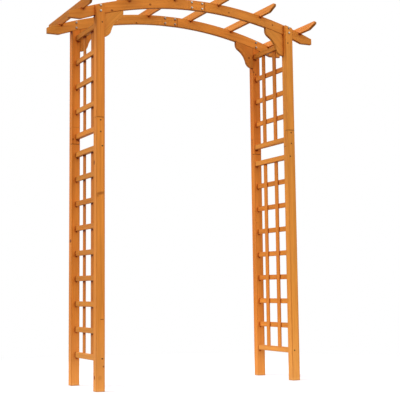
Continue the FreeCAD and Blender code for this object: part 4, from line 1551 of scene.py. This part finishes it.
@dataclass
class SidePanels(Assembly):
    """Trellis sides: a lower and an upper frame of rails, rungs let into the posts, and slats."""

    rail: Bar = Bar((0.576, 0.598), 0.175, 0.030, 1.8 * MM)
    rung: Bar = Bar((0.587, 0.598), 0.183, 0.029, 1.4 * MM)
    slat_faces: Pair = (0.581, 0.587)
    slat_y: float = 0.064
    slat_wide: float = 0.036
    slat_housing: float = 0.006
    slat_ease: float = 1.0 * MM
    sections: tuple[tuple[str, float, float, int], ...] = (
        ("lower", 0.1695, 1.2925, 7), ("upper", 1.3968, 1.9716, 3))
    stray: float = 0.35

    def build(self) -> None:
        """Make both sides."""
        for side, (part, low, high, count) in product(Side, self.sections):
            for place, height in (("bottom", low), ("top", high)):
                self.cross(label("rail", part, side, place), side, height, self.rail)
            for order, height in enumerate(np.linspace(low, high, count + 2)[1:-1], start=1):
                self.cross(label("rung", part, side, order), side, height, self.rung)
            self.slats(label("slats", part, side), side, low, high)

    def cross(self, node: str, side: Side, height: float, bar: Bar) -> None:
        """Rail or rung between the front and the rear post.

        Args:
            node: node of the frame that it stands for.
            side: left or right.
            height: height of its middle.
            bar: its section and length.
        """
        near, far = sorted(side.value * x for x in bar.faces)
        skin = straight_board((near, -bar.reach, height - bar.high / 2),
                              (far, bar.reach, height + bar.high / 2), Axis.Y, bar.ease)
        self.finish(node, side, skin, ((near + far) / 2, 0.0, height), (0, 1, 0), (0, 0, 1))

    def slats(self, node: str, side: Side, low: float, high: float) -> None:
        """Pair of upright slats, their ends let into the rails.

        Args:
            node: node of the frame that they stand for.
            side: left or right.
            low: height of the rail below.
            high: height of the rail above.
        """
        near, far = sorted(side.value * x for x in self.slat_faces)
        foot = low + self.rail.high / 2 - self.slat_housing
        top = high - self.rail.high / 2 + self.slat_housing
        pair = []
        for end in End:
            middle, half = end.value * self.slat_y, self.slat_wide / 2
            pair.append(straight_board((near, middle - half, foot), (far, middle + half, top),
                                       Axis.Z, self.slat_ease))
        spot = ((near + far) / 2, 0.0, (foot + top) / 2)
        self.finish(node, side, join(pair), spot, (0, 0, 1), (0, 1, 0))

    def finish(self, node: str, side: Side, skin: Skin, spot: Point, along: Point,
               across: Point) -> None:
        """Stain a board like its kind on its side, partly painted shade, and put it in the scene.

        Args:
            node: node of the frame that it stands for.
            side: left or right.
            skin: surface of the board.
            spot: its middle.
            along: direction of its fibres.
            across: direction of its face.
        """
        kind, *_ = node.split("_")
        tone, deep = PANEL_STAINS_AND_PAINTED_SHADE[kind, side]
        self.bench.board(node, skin, Grain(along, across, spot, tone, deep=deep, stray=self.stray))


@dataclass
class Bolts(Assembly):
    """Hexagon bolts through the post tops and the crown laps, with washers and nuts."""

    line: ArchLine
    wide: float = 0.006
    flats: float = 0.010
    pitch: float = 1.0 * MM
    thread_deep: float = 0.35 * MM
    thread_steps: int = 4
    lead: float = 0.35
    lead_wide: float = 0.80
    plain_from: float = 0.1 * MM
    neck: float = 0.05 * MM
    head_high: float = 0.004
    head_soft: float = 0.15 * MM
    head_cuts: tuple[float, ...] = (0.3 * MM, 0.0, 0.0, 0.8 * MM, 1.5 * MM)
    chamfer: float = 0.9 * MM
    crown: float = 0.3 * MM
    dish_inset: float = 1.2 * MM
    dish_deep: float = 0.1 * MM
    washer_wide: float = 0.012
    washer_thick: float = 1.6 * MM
    washer_bore: float = 0.0064
    washer_soft: float = 0.3 * MM
    nut_high: float = 0.005
    nut_cut: float = 1.2 * MM
    nut_chamfer: float = 0.6 * MM
    nut_play: float = 0.05 * MM
    nut_flare: float = 0.5 * MM
    spacing_high: float = 0.031
    post_x: float = 0.596
    post_long: float = 0.060
    post_faces: Pair = (0.223, 0.175)
    splice_x: float = 0.033
    splice_long: float = 0.035
    splice_faces: Pair = (0.197, 0.175)
    around: int = 36

    def build(self) -> None:
        """Make the bolts, and all washers and nuts as two groups."""
        middle = (self.line.outer + self.line.inner) / 2
        washer, nut = self.washer(), self.nut()
        washers: list[Skin] = []
        nuts: list[Skin] = []
        for node, across, centre, length, faces in (
                ("post_bolts", self.post_x, self.post_x, self.post_long, self.post_faces),
                ("splice_bolts", self.splice_x, 0.0, self.splice_long, self.splice_faces)):
            level = float(self.line.height(middle, centre))
            bolt = self.bolt(length, faces[0] - faces[1])
            bolts = []
            for corner, step in product(CORNERS, (-1, 1)):
                x, z = corner.x * across, level + step * self.spacing_high / 2
                outer, inner = (corner.y * face for face in faces)
                past = inner - corner.y * self.washer_thick
                outside = placer((x, outer, z), (0.0, corner.y, 0.0))
                inside, beyond = (placer((x, y, z), (0.0, -corner.y, 0.0)) for y in (inner, past))
                bolts.append(bolt.moved(outside))
                washers += [washer.moved(outside), washer.moved(inside)]
                nuts.append(nut.moved(beyond))
            self.bench.metal(node, bolts, Slot.ZINC)
        self.bench.metal("washers", washers, Slot.ZINC)
        self.bench.metal("nuts", nuts, Slot.ZINC)

    def hexagon(self) -> Array:
        """Reach of a hexagon at each angle t: flats / 2 / cos(t folded into a sixth of a turn)."""
        folded = (bearings(self.around) + math.pi / 6) % (math.pi / 3) - math.pi / 6
        return self.flats / 2 / np.cos(folded)

    def bolt(self, length: float, grip: float) -> Skin:
        """Bolt about +Z: r(t, z) of the threaded shank, then the chamfered hexagon of the head.

        The thread is r minus depth times a triangle wave of z / pitch - t / 2 pi.

        Args:
            length: length below the head.
            grip: thickness of the timber.

        Returns:
            Skin with the timber's face at zero height.
        """
        share = np.linspace(0.0, 1.0, self.around, endpoint=False)[None]
        radius = self.wide / 2
        foot, seat = self.washer_thick - length, self.washer_thick
        z = np.arange(foot, -grip, self.pitch / self.thread_steps)
        wave = np.abs((z[:, None] / self.pitch - share) % 1.0 - 0.5) * 2
        fade = np.clip((z - foot) / self.pitch, self.lead, 1.0)[:, None]
        thread = (radius - self.thread_deep * wave) * (self.lead_wide + (1 - self.lead_wide) * fade)
        plain = np.full((2, self.around), radius)
        hexagon = self.hexagon()[None]
        head = np.minimum(hexagon, hexagon.max() - np.array(self.head_cuts)[:, None])
        dish = np.full((1, self.around), self.flats / 2 - self.dish_inset)
        top = self.head_high
        rise = np.array([0.0, self.head_soft, top - self.chamfer, top - self.crown, top,
                         top - self.dish_deep])
        heights = np.concatenate([z, [self.plain_from - grip, seat - self.neck], seat + rise])
        return turned(np.concatenate([thread, plain, head, dish]), heights, self.around)

    def washer(self) -> Skin:
        """Plain washer with rounded rims, its back face at zero height.

        Returns:
            Skin of the washer.
        """
        inner, outer = self.washer_bore / 2, self.washer_wide / 2
        top, soft = self.washer_thick, self.washer_soft
        radii = np.array([inner, inner, inner + soft, outer - soft,
                          outer, outer, outer - soft, inner + soft])
        heights = np.array([soft, top - soft, top, top, top - soft, soft, 0.0, 0.0])
        return turned(radii, heights, self.around, closed=True)

    def nut(self) -> Skin:
        """Hexagon nut chamfered at both faces, its back face at zero height.

        Returns:
            Skin of the nut.
        """
        hexagon = self.hexagon()[None]
        rims = np.array([1.0, 0.0, 0.0, 1.0])[:, None]
        outside = np.minimum(hexagon, hexagon.max() - self.nut_cut * rims)
        inside = self.wide / 2 + self.nut_play + self.nut_flare * rims
        radii = np.concatenate([outside, np.broadcast_to(inside, outside.shape)])
        top, cut, flare = self.nut_high, self.nut_chamfer, self.nut_flare
        heights = np.array([0.0, cut, top - cut, top, top, top - flare, flare, 0.0])
        return turned(radii, heights, self.around, closed=True)


@dataclass
class Screws(Assembly):
    """Countersunk cross-recess screws of the laps, brackets, rails and rafters."""

    posts: Posts
    brackets: Brackets
    rafters: Rafters
    head_wide: float = 0.009
    head_deep: float = 0.003
    shank_wide: float = 0.0045
    tip_radius: float = 0.15 * MM
    tip_long: float = 0.006
    short: float = 0.042
    long: float = 0.080
    rim_inset: float = 0.15 * MM
    rim_low: float = 0.25 * MM
    rim_high: float = 0.1 * MM
    face_inset: float = 0.2 * MM
    face_rings: tuple[float, ...] = tuple(
        MM * ring for ring in (3.4, 2.9, 2.5, 2.0, 1.5, 1.1, 0.8, 0.5, 0.15))
    slot_deep: float = 1.5 * MM
    slot_half: float = 0.75 * MM
    slot_reach: float = 2.7 * MM
    slot_soft: float = 0.25 * MM
    hidden_rail: float = 1.3968
    around: int = 32

    def build(self) -> None:
        """Make the short and the long screws as two groups."""
        posts = self.posts
        levels = (*posts.lower_rail_screws, posts.upper_rail_screw)
        short: list[Head] = []
        long: list[Head] = []
        for corner in CORNERS:
            short += posts.lap_heads(corner) + self.brackets.heads(corner)
            long += posts.rail_heads(corner, levels)
            long.append(
                posts.head(corner, posts.rail_screw_x, self.hidden_rail, posts.side / 2))
        for step in self.rafters.steps:
            long += self.rafters.heads(step)
        for node, length, heads in (("short_screws", self.short, short),
                                    ("long_screws", self.long, long)):
            screw = self.screw(length)
            self.bench.metal(node, [screw.moved(placer(*head)) for head in heads], Slot.SCREW)

    def screw(self, length: float) -> Skin:
        """Screw about +Z with its face at zero height.

        Below the face it is r(z): tip, shank and cone. On the face the height is minus the depth
        of a cross: two bars, each one smooth step of |x| and |y|.

        Args:
            length: length from the face to the tip.

        Returns:
            Skin of the screw.
        """
        shank, head, soft = self.shank_wide / 2, self.head_wide / 2, self.slot_soft
        side_r = np.array([self.tip_radius, shank, shank, head - self.rim_inset, head])
        side_z = np.array([-length, self.tip_long - length, -self.head_deep, -self.rim_low,
                           -self.rim_high])
        face_r = np.array([head - self.face_inset, *self.face_rings])
        angle = bearings(self.around)
        x, y = (np.abs(face_r[:, None] * part[None]) for part in (np.cos(angle), np.sin(angle)))
        bars = [np.clip((self.slot_half - p) / soft + 0.5, 0, 1)
                * np.clip((self.slot_reach - q) / soft, 0, 1) for p, q in ((x, y), (y, x))]
        face_z = -self.slot_deep * np.maximum(*bars)
        heights = np.concatenate([np.repeat(side_z[:, None], self.around, axis=1), face_z])
        return turned(np.concatenate([side_r, face_r]), heights, self.around)


def sightline(bearing: float, rise: float) -> Array:
    """Direction at a bearing from +Y towards +X and a rise above the horizon, in radians."""
    level = math.cos(rise)
    return np.array([math.sin(bearing) * level, math.cos(bearing) * level, math.sin(rise)])


def plant(thing: bpy.types.Object, axes: Sequence[Array], spot: Sequence[float]) -> None:
    """Put a camera or lamp in the scene at a spot, its own X, Y and Z turned to three axes.

    Args:
        thing: the camera or lamp.
        axes: directions of its X, Y and Z.
        spot: where it stands.
    """
    turn = np.eye(4)
    turn[:3, :3] = np.stack(axes, axis=1)
    turn[:3, 3] = spot
    thing.matrix_world = Matrix(turn.tolist())
    bpy.context.scene.collection.objects.link(thing)


@dataclass(frozen=True)
class Viewpoint:
    """Camera at the photograph's viewing angle, for a square picture.

    Args:
        spot: where it stands.
        yaw: bearing of the view from +Y towards +X.
        pitch: rise of the view.
        roll: turn about the view.
        focal: focal length in picture widths.
        shift_y: upward shift of the picture, in picture widths.
        sensor: width of the sensor, in millimetres.
        clip_end: how far it sees.
    """

    spot: Point = (-2.46900, -5.19894, 0.52912)
    yaw: float = 0.45970
    pitch: float = 0.11778
    roll: float = -0.01140
    focal: float = 2.498466
    shift_y: float = -0.075
    sensor: float = 36.0
    clip_end: float = 200.0

    def build(self) -> None:
        """Stand the camera and make it the scene's own."""
        sight = sightline(self.yaw, self.pitch)
        level = np.array([math.cos(self.yaw), -math.sin(self.yaw), 0.0])
        above = np.cross(level, sight)
        right = math.cos(self.roll) * level + math.sin(self.roll) * above
        up = -math.sin(self.roll) * level + math.cos(self.roll) * above
        lens = bpy.data.cameras.new("viewpoint")
        lens.sensor_width = self.sensor
        lens.lens = self.focal * self.sensor
        lens.shift_y = self.shift_y
        lens.clip_end = self.clip_end
        camera = bpy.data.objects.new("viewpoint", lens)
        plant(camera, (right, up, -sight), self.spot)
        bpy.context.scene.camera = camera


@dataclass(frozen=True)
class Lamp:
    """Broad soft lamp a long way off.

    Args:
        name: name of the lamp.
        bearing: side it stands on, in degrees from the front towards the left.
        rise: height above the horizon, in degrees.
        spread: width of the lamp as seen from the arch, in degrees.
        power: light on a surface square to it.
        distance: how far off it hangs.
    """

    name: str
    bearing: float
    rise: float
    spread: float
    power: float
    distance: float = 6.0

    def build(self) -> None:
        """Hang the lamp, pointing at the arch."""
        light = bpy.data.lights.new(self.name, "SUN")
        light.angle = math.radians(self.spread)
        light.energy = self.power
        back = -sightline(math.radians(self.bearing), -math.radians(self.rise))
        side = np.cross([0.0, 0.0, 1.0], back)
        side /= np.linalg.norm(side)
        thing = bpy.data.objects.new(self.name, light)
        plant(thing, (side, np.cross(back, side), back), back * self.distance)


LAMPS = (
    Lamp("front_lamp", 5.0, 28.0, 90.0, 2.25),
    Lamp("left_lamp", 114.0, 44.0, 38.0, 2.1),
    Lamp("back_lamp", 215.0, 40.0, 70.0, 1.2),
)


@dataclass
class Studio:
    """Pale floor, soft lamps and a white surround."""

    floor_half: float = 40.0
    floor_colour: Colour = (0.62, 0.62, 0.62)
    floor_far: Colour = (0.06, 0.06, 0.06)
    floor_seen: Colour = (0.78, 0.80, 0.84)
    floor_roughness: float = 0.9
    floor_specular: float = 0.1
    bounce: Ramp = Ramp(0.5, 1.2)
    fade: Ramp = Ramp(0.9, 2.6)
    world_colour: Colour = (1.0, 0.97, 0.94)
    world_strength: float = 0.55

    def build(self) -> None:
        """Set the view transform, the floor, the lamps and the world."""
        bpy.context.scene.view_settings.view_transform = "Standard"
        self.floor()
        for lamp in LAMPS:
            lamp.build()
        self.world()

    def floor(self) -> None:
        """Level floor that keeps the shadow near the arch and turns white further off."""
        reach = np.array([[-1, -1], [1, -1], [1, 1], [-1, 1]]) * self.floor_half
        mesh = bpy.data.meshes.new("floor")
        mesh.from_pydata(np.c_[reach, np.zeros(4)].tolist(), [], [(0, 1, 2, 3)])
        floor = bpy.data.objects.new("floor", mesh)
        bpy.context.scene.collection.objects.link(floor)
        mesh.materials.append(self.floor_material())
        floor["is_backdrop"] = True

    def floor_material(self) -> bpy.types.Material:
        """Pale matt floor, seen white further off, that throws light back near the feet.

        Returns:
            The material.
        """
        g = Paint("pale_floor")
        away, seen = g.length(g.place()), g.seen()
        thrown = g.blend(g.ramp(away, self.bounce), self.floor_colour, self.floor_far)
        g.coat({"Base Color": g.blend(seen, thrown, self.floor_seen),
                "Roughness": self.floor_roughness, "Specular IOR Level": self.floor_specular})
        white = g.math("MULTIPLY", g.ramp(away, self.fade), seen)
        glow = g.add("ShaderNodeEmission").outputs[0]
        mix = g.add("ShaderNodeMixShader", {0: white, 1: g.shader.outputs["BSDF"], 2: glow})
        g.feed(g.out.inputs["Surface"], mix.outputs[0])
        return g.material

    def world(self) -> None:
        """Even pale light, white where it is seen."""
        world = bpy.data.worlds.new("surround")
        bpy.context.scene.world = world
        g = Graph(world)
        soft, white = (
            g.add("ShaderNodeBackground", {"Color": colour, "Strength": strength}).outputs[0]
            for colour, strength in ((self.world_colour, self.world_strength), (WHITE, 1.0)))
        mix = g.add("ShaderNodeMixShader", {0: g.seen(), 1: soft, 2: white})
        g.add("ShaderNodeOutputWorld", {"Surface": mix.outputs[0]})


def plain(box: Iterable[Iterable[float]]) -> list[list[float]]:
    """A box as plain lists of numbers."""
    return [[float(v) for v in corner] for corner in box]


def main() -> None:
    """Build the arch piece by piece, then the studio."""
    logging.basicConfig(level=logging.INFO, format="%(name)s %(message)s")
    line = ArchLine()
    bench = Bench(seed=11)
    posts, beams, rafters, brackets, bolts = (
        kind(bench, line) for kind in (Posts, Beams, Rafters, Brackets, Bolts))
    screws = Screws(bench, posts, brackets, rafters)
    for assembly in (posts, beams, rafters, brackets, SidePanels(bench), bolts, screws):
        assembly.build()
        log.info("%s done", type(assembly).__name__)
    Studio().build()
    Viewpoint().build()
    {"cad": plain(CAD_BOX), "visual": plain(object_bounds())}


if __name__ == "__main__":
    main()
